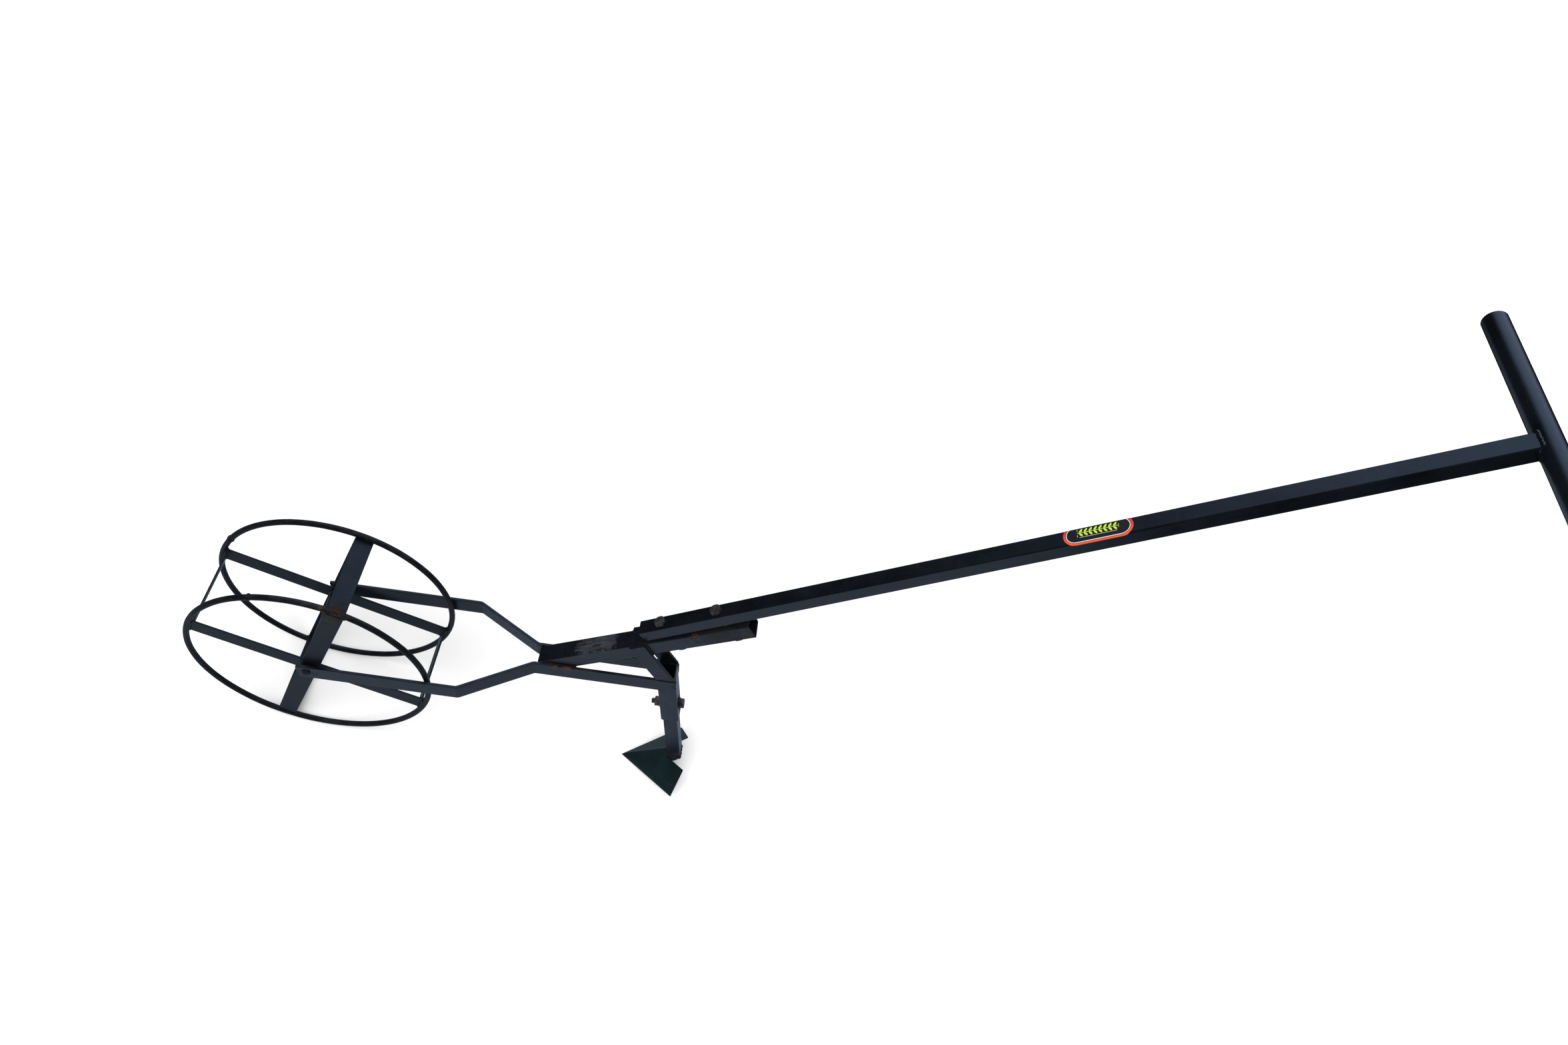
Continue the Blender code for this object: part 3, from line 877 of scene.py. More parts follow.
def build_effects() -> None:
    """Builds every shared shader group once."""
    value, colour = "NodeSocketFloat", "NodeSocketColor"
    g, given, out = effect_tree(Effect.WORN_EDGE, {"Amount": 0.5, "Scale": 160.0}, {"Mask": value})
    edge = g.node("ShaderNodeAttribute", attribute_name="edge").outputs["Fac"]
    chip = g.node("ShaderNodeTexNoise")
    g.feed(chip.inputs["Vector"], g.place())
    g.feed(chip.inputs["Scale"], given.outputs["Scale"])
    chip.inputs["Detail"].default_value = 5.0
    limit = g.math("SUBTRACT", 0.86, g.math("MULTIPLY", given.outputs["Amount"], 0.5))
    worn = g.math("MULTIPLY", g.math("SUBTRACT", chip.outputs[0], limit), 9.0, clamp=True)
    g.feed(out.inputs["Mask"], g.math("MULTIPLY", edge, worn))

    g, given, out = effect_tree(Effect.RUST, {"Amount": 0.3, "Scale": 60.0},
            {"Mask": value, "Colour": colour})
    bloom = g.node("ShaderNodeTexNoise")
    g.feed(bloom.inputs["Vector"], g.place())
    g.feed(bloom.inputs["Scale"], given.outputs["Scale"])
    bloom.inputs["Detail"].default_value = 8.0
    bloom.inputs["Roughness"].default_value = 0.65
    grain = g.noise(g.place(), 900.0, 3.0)
    mixed = g.math("ADD", bloom.outputs[0], g.math("MULTIPLY", g.math("SUBTRACT", grain, 0.5), 0.18))
    limit = g.math("SUBTRACT", 0.80, g.math("MULTIPLY", given.outputs["Amount"], 0.4))
    g.feed(out.inputs["Mask"], g.math("MULTIPLY", g.math("SUBTRACT", mixed, limit), 7.0, clamp=True))
    g.feed(out.inputs["Colour"], g.blend(g.step(grain, 0.35, 0.65), (0.050, 0.018, 0.009),
            (0.15, 0.062, 0.022)))

    g, given, out = effect_tree(Effect.DUST, {"Amount": 0.4}, {"Mask": value, "Colour": colour})
    facing = g.node("ShaderNodeSeparateXYZ")
    g.feed(facing.inputs[0], g.node("ShaderNodeTexCoord").outputs["Normal"])
    lying = g.step(facing.outputs[2], 0.2, 0.95)
    drift = g.step(g.noise(g.place(), 38.0, 6.0, 0.62), 0.38, 0.72)
    speck = g.step(g.noise(g.place(), 1400.0, 2.0), 0.5, 0.75)
    soft = g.math("MULTIPLY", g.math("MULTIPLY", lying, drift),
            g.math("ADD", 0.35, g.math("MULTIPLY", speck, 0.65)))
    g.feed(out.inputs["Mask"], g.math("MULTIPLY", soft, given.outputs["Amount"]))
    g.feed(out.inputs["Colour"], g.blend(drift, (0.075, 0.082, 0.090), (0.15, 0.14, 0.125)))

    names = {"Height": value, "Mottle": value, "Streak": value, "Chip": value}
    g, given, out = effect_tree(Effect.PAINT, {"Along": (1.0, 0.0, 0.0)}, names)
    spot = g.place()
    peel = g.noise(spot, 420.0, 3.0, 0.5)
    sag = g.noise(spot, 55.0, 2.0, 0.4)
    run = g.node("ShaderNodeVectorMath", operation="DOT_PRODUCT")
    g.feed(run.inputs[0], spot)
    g.feed(run.inputs[1], given.outputs["Along"])
    pulled = g.node("ShaderNodeVectorMath", operation="SCALE")
    g.feed(pulled.inputs[0], given.outputs["Along"])
    g.feed(pulled.inputs["Scale"], g.math("MULTIPLY", run.outputs["Value"], -0.94))
    brushed = g.node("ShaderNodeVectorMath", operation="ADD")
    g.feed(brushed.inputs[0], spot)
    g.feed(brushed.inputs[1], pulled.outputs[0])
    streak = g.noise(brushed.outputs[0], 520.0, 4.0, 0.6)
    height = g.math("ADD", g.math("MULTIPLY", peel, 0.45), g.math("MULTIPLY", sag, 0.9))
    g.feed(out.inputs["Height"], g.math("ADD", height, g.math("MULTIPLY", streak, 0.10)))
    fleck = g.step(g.noise(spot, 300.0, 3.0, 0.6), 0.685, 0.72)
    cluster = g.step(g.noise(spot, 26.0, 3.0, 0.6), 0.50, 0.60)
    g.feed(out.inputs["Chip"], g.math("MULTIPLY", fleck, cluster))
    g.feed(out.inputs["Mottle"], g.noise(spot, 17.0, 5.0, 0.6))
    g.feed(out.inputs["Streak"], streak)

    inputs = {"Centre": (0.0, 0.0, 0.0), "Radius": 0.01, "Ragged": 0.5, "Scale": 220.0}
    g, given, out = effect_tree(Effect.PATCH, inputs, {"Mask": value})
    away = g.node("ShaderNodeVectorMath", operation="DISTANCE")
    g.feed(away.inputs[0], g.place())
    g.feed(away.inputs[1], given.outputs["Centre"])
    torn = g.node("ShaderNodeTexNoise")
    g.feed(torn.inputs["Vector"], g.place())
    g.feed(torn.inputs["Scale"], given.outputs["Scale"])
    torn.inputs["Detail"].default_value = 6.0
    near = g.math("SUBTRACT", 1.0, g.math("DIVIDE", away.outputs["Value"], given.outputs["Radius"]))
    shaken = g.math("MULTIPLY", g.math("SUBTRACT", torn.outputs[0], 0.5),
            g.math("MULTIPLY", given.outputs["Ragged"], 4.0))
    g.feed(out.inputs["Mask"], g.math("MULTIPLY", g.math("ADD", near, shaken), 2.5, clamp=True))


@dataclass(frozen=True)
class Spot:
    """A local mark on a finish: where it is, how far it reaches, its colour and strength."""

    centre: tuple[float, float, float]
    radius: float
    colour: Colour
    strength: float = 0.8
    ragged: float = 0.5
    scale: float = 220.0
    streaky: bool = False


@dataclass(frozen=True)
class Enamel:
    """Hand-brushed enamel over steel, with worn edges, rust and dust."""

    name: str
    base: Colour = (0.0015, 0.0022, 0.0033)
    tint: Colour = (0.0034, 0.0050, 0.0078)
    bare: Colour = (0.050, 0.046, 0.042)
    chip: Colour = (0.105, 0.098, 0.078)
    roughness: Flat = (0.24, 0.42)
    wear: float = 0.35
    rust: float = 0.12
    dust: float = 0.12
    chips: float = 0.5
    relief: float = 0.14
    along: tuple[float, float, float] = (0.74, 0.0, 0.67)
    gloss: float = 0.45
    spots: tuple[Spot, ...] = ()

    def material(self) -> bpy.types.Material:
        """Builds the finish as a node material.

        Returns:
            The material.
        """
        made, g, shader = node_material(self.name)
        paint = g.group(Effect.PAINT, Along=self.along)
        worn = g.group(Effect.WORN_EDGE, Amount=self.wear).outputs["Mask"]
        rust = g.group(Effect.RUST, Amount=self.rust)
        dust = g.group(Effect.DUST, Amount=self.dust)
        shade = g.step(paint.outputs["Mottle"], 0.30, 0.72)
        colour = g.blend(shade, self.base, self.tint)
        colour = g.blend(g.math("MULTIPLY", paint.outputs["Chip"], self.chips), colour, self.chip)
        colour = g.blend(worn, colour, self.bare)
        colour = g.blend(g.math("MULTIPLY", rust.outputs["Mask"], 0.8), colour, rust.outputs["Colour"])
        rough = g.step(paint.outputs["Streak"], 0.25, 0.75, self.roughness[0], self.roughness[1])
        for spot in self.spots:
            mask = g.group(Effect.PATCH, Centre=spot.centre, Radius=spot.radius, Ragged=spot.ragged,
                    Scale=spot.scale).outputs["Mask"]
            mask = g.math("MULTIPLY", mask, spot.strength)
            if spot.streaky:
                stroke = g.math("ADD", paint.outputs["Streak"],
                        g.math("MULTIPLY", paint.outputs["Mottle"], 0.5))
                mask = g.math("MULTIPLY", mask, g.step(stroke, 0.64, 0.86, 0.18, 1.0))
            colour = g.blend(mask, colour, spot.colour)
            rough = g.math("ADD", rough, g.math("MULTIPLY", mask, 0.35), clamp=True)
        colour = g.blend(dust.outputs["Mask"], colour, dust.outputs["Colour"])
        rough = g.math("ADD", rough, g.math("MULTIPLY", rust.outputs["Mask"], 0.4), clamp=True)
        rough = g.math("ADD", rough, g.math("MULTIPLY", dust.outputs["Mask"], 0.5), clamp=True)
        height = g.math("SUBTRACT", paint.outputs["Height"], g.math("MULTIPLY", worn, 0.4))
        g.dress(shader, colour, rough, g.math("MULTIPLY", worn, 0.55), height, self.relief, 0.0012)
        shader.inputs["Specular IOR Level"].default_value = self.gloss
        shader.inputs["Specular Tint"].default_value = (0.80, 0.92, 1.0, 1.0)
        return made


@dataclass(frozen=True)
class OiledSteel:
    """Dark oiled fastener steel with brown tarnish in its low places."""

    name: str
    bright: Colour = (0.070, 0.070, 0.073)
    dark: Colour = (0.024, 0.024, 0.025)
    tarnish: Colour = (0.048, 0.040, 0.028)
    tarnish_share: float = 0.40
    metallic: float = 0.7

    def material(self) -> bpy.types.Material:
        """Builds the finish as a node material.

        Returns:
            The material.
        """
        made, g, shader = node_material(self.name)
        spot = g.place()
        cloud = g.noise(spot, 210.0, 6.0, 0.62)
        pit = g.noise(spot, 1900.0, 3.0, 0.6)
        worn = g.group(Effect.WORN_EDGE, Amount=0.9, Scale=240.0).outputs["Mask"]
        colour = g.blend(g.step(cloud, 0.34, 0.66), self.dark, self.bright)
        stain = g.math("MULTIPLY", g.step(g.noise(spot, 120.0, 5.0), 0.40, 0.68), self.tarnish_share)
        colour = g.blend(stain, colour, self.tarnish)
        colour = g.blend(g.math("MULTIPLY", worn, 0.6), colour, (0.30, 0.29, 0.27))
        metal = g.math("SUBTRACT", self.metallic, g.math("MULTIPLY", stain, 0.5))
        height = g.math("ADD", pit, g.math("MULTIPLY", cloud, 0.8))
        g.dress(shader, colour, g.step(cloud, 0.3, 0.7, 0.62, 0.36), metal, height, 0.22, 0.0006)
        return made


@dataclass(frozen=True)
class WeldMetal:
    """Weld beads under thin enamel, with olive and rust showing through."""

    name: str
    paint: Colour = (0.0028, 0.0036, 0.0048)
    scale: Colour = (0.022, 0.017, 0.009)
    show_through: float = 0.45

    def material(self) -> bpy.types.Material:
        """Builds the finish as a node material.

        Returns:
            The material.
        """
        made, g, shader = node_material(self.name)
        spot = g.place()
        cloud = g.noise(spot, 130.0, 6.0, 0.66)
        rust = g.group(Effect.RUST, Amount=0.30, Scale=95.0)
        share = g.math("MULTIPLY", g.step(cloud, 0.42, 0.66), self.show_through)
        colour = g.blend(share, self.paint, self.scale)
        colour = g.blend(g.math("MULTIPLY", rust.outputs["Mask"], 0.75), colour, rust.outputs["Colour"])
        pit = g.noise(spot, 1500.0, 4.0, 0.6)
        rough = g.step(cloud, 0.3, 0.7, 0.34, 0.62)
        g.dress(shader, colour, rough, g.math("MULTIPLY", share, 0.4), g.math("ADD", pit, cloud), 0.35,
                0.0008)
        return made


@dataclass(frozen=True)
class LabelPrint:
    """Printed vinyl: a red border, a pale pinstripe, a black field and a sprig of leaves.

    The print is laid out in millimetres on the label's own flat coordinates.
    """

    name: str
    length: float = 92.0
    width: float = 34.0
    border: float = 3.0
    stripe: Flat = (3.9, 4.5)
    leaf_pitch: float = 6.4
    leaf_row: float = 3.0
    leaf_half: float = 27.0

    def material(self) -> bpy.types.Material:
        """Builds the print as a node material.

        Returns:
            The material.
        """
        made, g, shader = node_material(self.name)
        flat = g.node("ShaderNodeSeparateXYZ")
        g.feed(flat.inputs[0], g.node("ShaderNodeTexCoord").outputs["UV"])
        u = g.math("MULTIPLY", flat.outputs[0], 1000.0)
        v = g.math("MULTIPLY", flat.outputs[1], 1000.0)
        radius = self.width / 2
        past = g.math("MAXIMUM", g.math("SUBTRACT", g.math("ABSOLUTE", u), self.length / 2 - radius), 0.0)
        reach = g.math("SQRT", g.math("ADD", g.math("MULTIPLY", past, past), g.math("MULTIPLY", v, v)))
        inside = g.math("SUBTRACT", radius, reach)
        red = g.step(v, -radius, radius, 0.0, 1.0)
        colour = g.blend(red, (0.66, 0.075, 0.022), (0.40, 0.016, 0.020))
        field = g.math("MULTIPLY", g.math("SUBTRACT", inside, self.border), 5.0, clamp=True)
        colour = g.blend(field, colour, (0.006, 0.007, 0.009))
        line = g.math("MULTIPLY", g.step(inside, self.stripe[0] - 0.3, self.stripe[0]),
                g.step(inside, self.stripe[1], self.stripe[1] + 0.3, 1.0, 0.0))
        colour = g.blend(line, colour, (0.62, 0.62, 0.60))
        colour = g.blend(self.leaves(g, u, v), colour, (0.42, 0.60, 0.045))
        thin = g.math("MULTIPLY", g.step(g.math("ABSOLUTE", g.math("ADD", v, 5.6)), 0.35, 0.65, 1.0, 0.0),
                g.step(g.math("ABSOLUTE", u), 24.0, 25.0, 1.0, 0.0))
        colour = g.blend(g.math("MULTIPLY", thin, 0.6), colour, (0.40, 0.44, 0.30))
        scuff = g.step(g.noise(g.place(), 300.0, 6.0, 0.7), 0.60, 0.72)
        colour = g.blend(g.math("MULTIPLY", scuff, 0.25), colour, (0.10, 0.10, 0.10))
        wave = g.noise(g.place(), 90.0, 2.0)
        g.dress(shader, colour, g.step(scuff, 0.0, 1.0, 0.22, 0.5), 0.0, wave, 0.10, 0.002)
        return made

    def leaves(self, g: Graph, u: bpy.types.NodeSocket, v: bpy.types.NodeSocket) -> bpy.types.NodeSocket:
        """A stem with leaves in pairs along it.

        Args:
            g: Graph of the material.
            u: Place along the label, in millimetres.
            v: Place across the label, in millimetres.

        Returns:
            A mask that is 1 on the sprig.
        """
        up = g.math("SUBTRACT", v, self.leaf_row - 1.0)
        cell = g.math("SUBTRACT", g.math("FLOORED_MODULO", u, self.leaf_pitch), self.leaf_pitch / 2)
        lean = g.math("SUBTRACT", cell, g.math("MULTIPLY", g.math("ABSOLUTE", up), 0.55))
        middle = g.math("SUBTRACT", g.math("ABSOLUTE", up), 3.4)
        long = g.math("DIVIDE", middle, 3.3)
        wide = g.math("DIVIDE", g.math("ADD", lean, 1.6),
                g.math("SUBTRACT", 1.9, g.math("MULTIPLY", middle, 0.18)))
        shape = g.math("ADD", g.math("MULTIPLY", long, long), g.math("ABSOLUTE", wide))
        leaf = g.step(shape, 0.86, 1.0, 1.0, 0.0)
        stem = g.step(g.math("ABSOLUTE", up), 0.30, 0.55, 1.0, 0.0)
        ends = g.step(g.math("ABSOLUTE", u), self.leaf_half, self.leaf_half + 0.4, 1.0, 0.0)
        return g.math("MULTIPLY", g.math("MAXIMUM", leaf, stem), ends)


# ---- finishes of this tool
class Paints:
    """The materials of the whole tool, built once."""

    ORANGE: Colour = (0.060, 0.024, 0.010)
    RED: Colour = (0.036, 0.013, 0.008)
    OLIVE: Colour = (0.024, 0.021, 0.012)
    BROWN: Colour = (0.009, 0.007, 0.006)
    SCUFF: Colour = (0.030, 0.033, 0.036)

    def __init__(self, layout: Layout) -> None:
        """Builds every finish, with its marks where the layout puts them.

        Args:
            layout: Places of the sub-assemblies.
        """
        self.wheel = Enamel("wheel_enamel", wear=0.42, rust=0.18, dust=0.05, gloss=0.26,
                roughness=(0.34, 0.52),
                along=(0.0, 0.0, 0.0), spots=self.wheel_marks(layout)).material()
        self.ring = Enamel("ring_enamel", base=(0.0022, 0.0023, 0.0027), tint=(0.0052, 0.0054, 0.0062),
                wear=0.5,
                rust=0.24, dust=0.16, chips=0.6, gloss=0.24, roughness=(0.36, 0.55),
                along=(0.0, 0.0, 0.0), spots=self.wheel_marks(layout)).material()
        joint = [Spot(tuple(layout.fork @ Vector((x, -0.0165, 0.014))), reach, self.ORANGE, 0.85, 0.8)
                for x, reach in ((0.3995, 0.008), (0.424, 0.010), (0.440, 0.006))]
        joint.append(Spot(tuple(layout.fork @ Vector((0.455, -0.0215, 0.012))), 0.016, self.OLIVE, 0.5, 0.8))
        self.fork = Enamel("fork_enamel", along=(0.97, 0.0, 0.22), gloss=0.40, spots=tuple(joint)).material()
        self.beam = Enamel("beam_enamel", dust=0.05, rust=0.12, spots=self.beam_marks(layout)).material()
        self.handle = Enamel("handle_enamel", along=(0.703, 0.0, 0.711), roughness=(0.20, 0.32), wear=0.30,
                rust=0.04, dust=0.03, chips=0.15).material()
        sleeve = tuple(Spot(tuple(layout.sleeve @ Vector((x, -0.016, z))), reach, self.OLIVE, 0.75, 1.0,
                320.0)
                for x, z, reach in ((0.013, -0.006, 0.012), (0.004, -0.020, 0.009), (0.012, -0.060, 0.008)))
        self.sleeve = Enamel("sleeve_enamel", along=(-0.29, 0.0, 0.957), rust=0.2, chips=0.9,
                spots=sleeve).material()
        foot = Spot(tuple(layout.sleeve @ Vector((0, -0.0125, -0.295))), 0.020, self.BROWN, 0.6, 0.8)
        self.shank = Enamel("shank_enamel", along=(-0.29, 0.0, 0.957), rust=0.2, chips=0.8,
                spots=(foot,)).material()
        red = tuple(Spot(tuple(layout.sleeve @ Vector(at)), reach, self.RED, 0.45, 1.0, 260.0)
                for at, reach in (((-0.038, -0.016, -0.326), 0.008), ((0.005, -0.052, -0.330), 0.006)))
        self.blade = Enamel("blade_enamel", base=(0.0016, 0.0058, 0.0056), tint=(0.0030, 0.0105, 0.0115),
                roughness=(0.34, 0.50), wear=0.42, rust=0.22, dust=0.04, relief=0.20, gloss=0.30,
                along=(0.0, 0.0, 0.0), spots=red).material()
        self.steel = OiledSteel("fastener_steel").material()
        self.nut = OiledSteel("clamp_nut_steel", tarnish=(0.075, 0.058, 0.022), tarnish_share=0.9).material()
        self.weld = WeldMetal("weld_metal").material()
        self.label = LabelPrint("label_vinyl").material()

    def wheel_marks(self, layout: Layout) -> tuple[Spot, ...]:
        """Rust near the left ring's top joint and hub.

        Args:
            layout: Places of the sub-assemblies.

        Returns:
            The marks.
        """
        angle = layout.spoke_tilt - layout.pitch - pi / 2
        top = layout.wheel @ Matrix.Rotation(angle, 4, "Y")
        marks = ((0.198, -0.0738, -0.004, 0.024, self.BROWN), (0.196, -0.070, 0.000, 0.012, self.RED),
                (0.176, -0.0730, 0.002, 0.014, self.OLIVE), (0.197, -0.0738, 0.022, 0.006, self.ORANGE),
                (0.012, -0.070, -0.010, 0.016, self.BROWN), (0.198, 0.0738, 0.030, 0.014, self.BROWN))
        return tuple(Spot(tuple(top @ Vector((x, y, z))), reach, colour, 0.7, 0.9, 260.0)
                for x, y, z, reach, colour in marks)

    def beam_marks(self, layout: Layout) -> tuple[Spot, ...]:
        """Grey scuffs of an old sticker on the beam's top, rust on its left side, and a wide dull brown-black
        patch over that side's rear end that is painted shade from under the handle, with some rust in it.

        Args:
            layout: Places of the sub-assemblies.

        Returns:
            The marks.
        """
        marks = [Spot(tuple(layout.beam @ Vector((along, 0.001, 0))), 0.021, self.SCUFF, 0.85, 0.35, 150.0,
                True)
                for along in (0.092, 0.106, 0.121, 0.136)]
        marks += [Spot(tuple(layout.beam @ Vector((along, -0.016, up))), reach, colour, strength, 0.9)
                for along, up, reach, colour, strength in
                ((0.289, -0.011, 0.007, self.RED, 0.8), (0.300, -0.004, 0.009, self.ORANGE, 0.6),
                 # Painted shade: the wide dull brown-black patch at 0.345 along stands in for the shade under
                 # the handle on the left side's rear end, with some rust in it; the smaller marks are rust.
                 (0.345, -0.010, 0.055, self.BROWN, 0.8), (0.380, -0.024, 0.010, self.OLIVE, 0.6),
                 (0.240, -0.028, 0.008, self.OLIVE, 0.5))]
        return tuple(marks)


def middle_columns(steps: int) -> set[int]:
    """Columns of a rounded_box section that lie at the middle of its corners."""
    keep = {(steps - 1) // 2, steps // 2}
    return {corner * (steps + 1) + k for corner in range(4) for k in keep}


# ---- fasteners
@dataclass(frozen=True)
class Hardware:
    """Ten-millimetre bolt, nut and washer."""

    thread: float = 0.010
    pitch: float = 0.0015
    root: float = 0.0009
    across_flats: float = 0.017
    head: float = 0.0064
    nut: float = 0.008
    washer_dia: float = 0.020
    washer: float = 0.002
    proud: float = 0.006
    chamfer: float = radians(30)
    face_share: float = 0.955
    countersink: float = 0.0008
    soft: float = 0.0003
    steps: int = 72

    def outline(self) -> list[tuple[float, float, float]]:
        """Hexagon as (a, b, distance from the axis) at even turns.

        Returns:
            The outline's points.
        """
        points = []
        for i in range(self.steps):
            turn = 2 * pi * i / self.steps
            lean = turn % (pi / 3) - pi / 6
            reach = self.across_flats / 2 / cos(lean)
            points.append((reach * cos(turn), reach * sin(turn), reach))
        return points

    def hexagon(self, shell: Shell, low: float, high: float, place: Place,
            bore: float = 0.0, faced: int = 1) -> None:
        """Adds a hexagon head or nut with its chamfered corners.

        Args:
            shell: Where it goes.
            low: Height of its seat.
            high: Height of its outer face.
            place: Maps across, across and height to a local point.
            bore: Radius of a nut's bore; none for a head.
            faced: 1 if high is the outer face's side, -1 if it is below low.
        """
        flat = self.across_flats / 2 * self.face_share
        drop = tan(self.chamfer)
        outline = self.outline()
        outer_face, inner_face = [[place(a, b, height) for a, b in circle(flat, self.steps)]
                for height in (high, low)]
        upper = [place(a, b, high - faced * (r - flat) * drop) for a, b, r in outline]
        seat = [place(a, b, low + faced * ((r - flat) * drop if bore else self.soft)) for a, b, r in outline]
        rows = [inner_face, seat, upper, outer_face]
        if bore:
            sunk, inset = bore + self.countersink, faced * self.countersink
            bored = [(sunk, high), (bore, high - inset), (bore, low + inset), (sunk, low)]
            for radius, height in bored:
                rows.append([place(a, b, height) for a, b in circle(radius, self.steps)])
            shell.rows(rows, loop=True)
        else:
            shell.rows(rows)

    def rod(self, shell: Shell, end: float, top: float, place: Place) -> None:
        """Adds a bolt's shank with a cut thread at its end.

        Args:
            shell: Where it goes.
            end: Height of the thread's end.
            top: Height of the shank's other end, inside the head.
            place: Maps across, across and height to a local point.
        """
        up = 1 if top > end else -1
        radius, steps = self.thread / 2, 36
        threaded = self.proud + 0.003
        count = ceil(threaded / (self.pitch / 8))
        rows = []
        for i in range(count + 1):
            gone = threaded * i / count
            row = []
            for k in range(steps):
                turn = 2 * pi * k / steps
                phase = gone / self.pitch + k / steps
                depth = self.root * (0.5 + 0.5 * cos(2 * pi * phase)) ** 0.8
                fade = min(1.0, (threaded - gone) / self.pitch)
                reach = min(radius - depth * fade, radius - 0.0013 + gone * 0.9)
                row.append(place(reach * cos(turn), reach * sin(turn), end + up * gone))
            rows.append(row)
        rows.append([place(a, b, top) for a, b in circle(radius, steps)])
        shell.rows(rows)

    def washer_ring(self, shell: Shell, low: float, high: float, place: Place,
            outer: float = 0.0) -> None:
        """Adds a washer or spacer with softened rims.

        Args:
            shell: Where it goes.
            low: Height of one face.
            high: Height of the other.
            place: Maps across, across and height to a local point.
            outer: Outer radius; none for the washer's own.
        """
        reach = outer or self.washer_dia / 2
        soft = self.soft
        hole = self.thread / 2 + soft
        section = [(hole, low + soft), (hole + soft, low), (reach - soft, low), (reach, low + soft),
                (reach, high - soft), (reach - soft, high), (hole + soft, high), (hole, high - soft)]
        shell.turned_ring(section, 48, place)

    def bolt(self, name: str, axes: Matrix, seat: float, end: float, place: Place,
            body: Body, material: bpy.types.Material) -> None:
        """Shows a whole bolt that stands for the CAD node of its name.

        Args:
            name: CAD node it stands for.
            axes: Axes that its middle line lies in.
            seat: Height of the head's seat.
            end: Height of the thread's end.
            place: Maps across, across and height to a local point.
            body: Body it rides on.
            material: Its finish.
        """
        shell = Shell(axes)
        self.rod(shell, end, seat + self.head / 2, place)
        self.hexagon(shell, seat, seat + self.head, place)
        show(name, "turned", eased(shell.mesh(name), 0.0002), body, Slot.STEEL, material)


@dataclass
class Assembly:
    """What every sub-assembly is built from."""

    layout: Layout
    paints: Paints


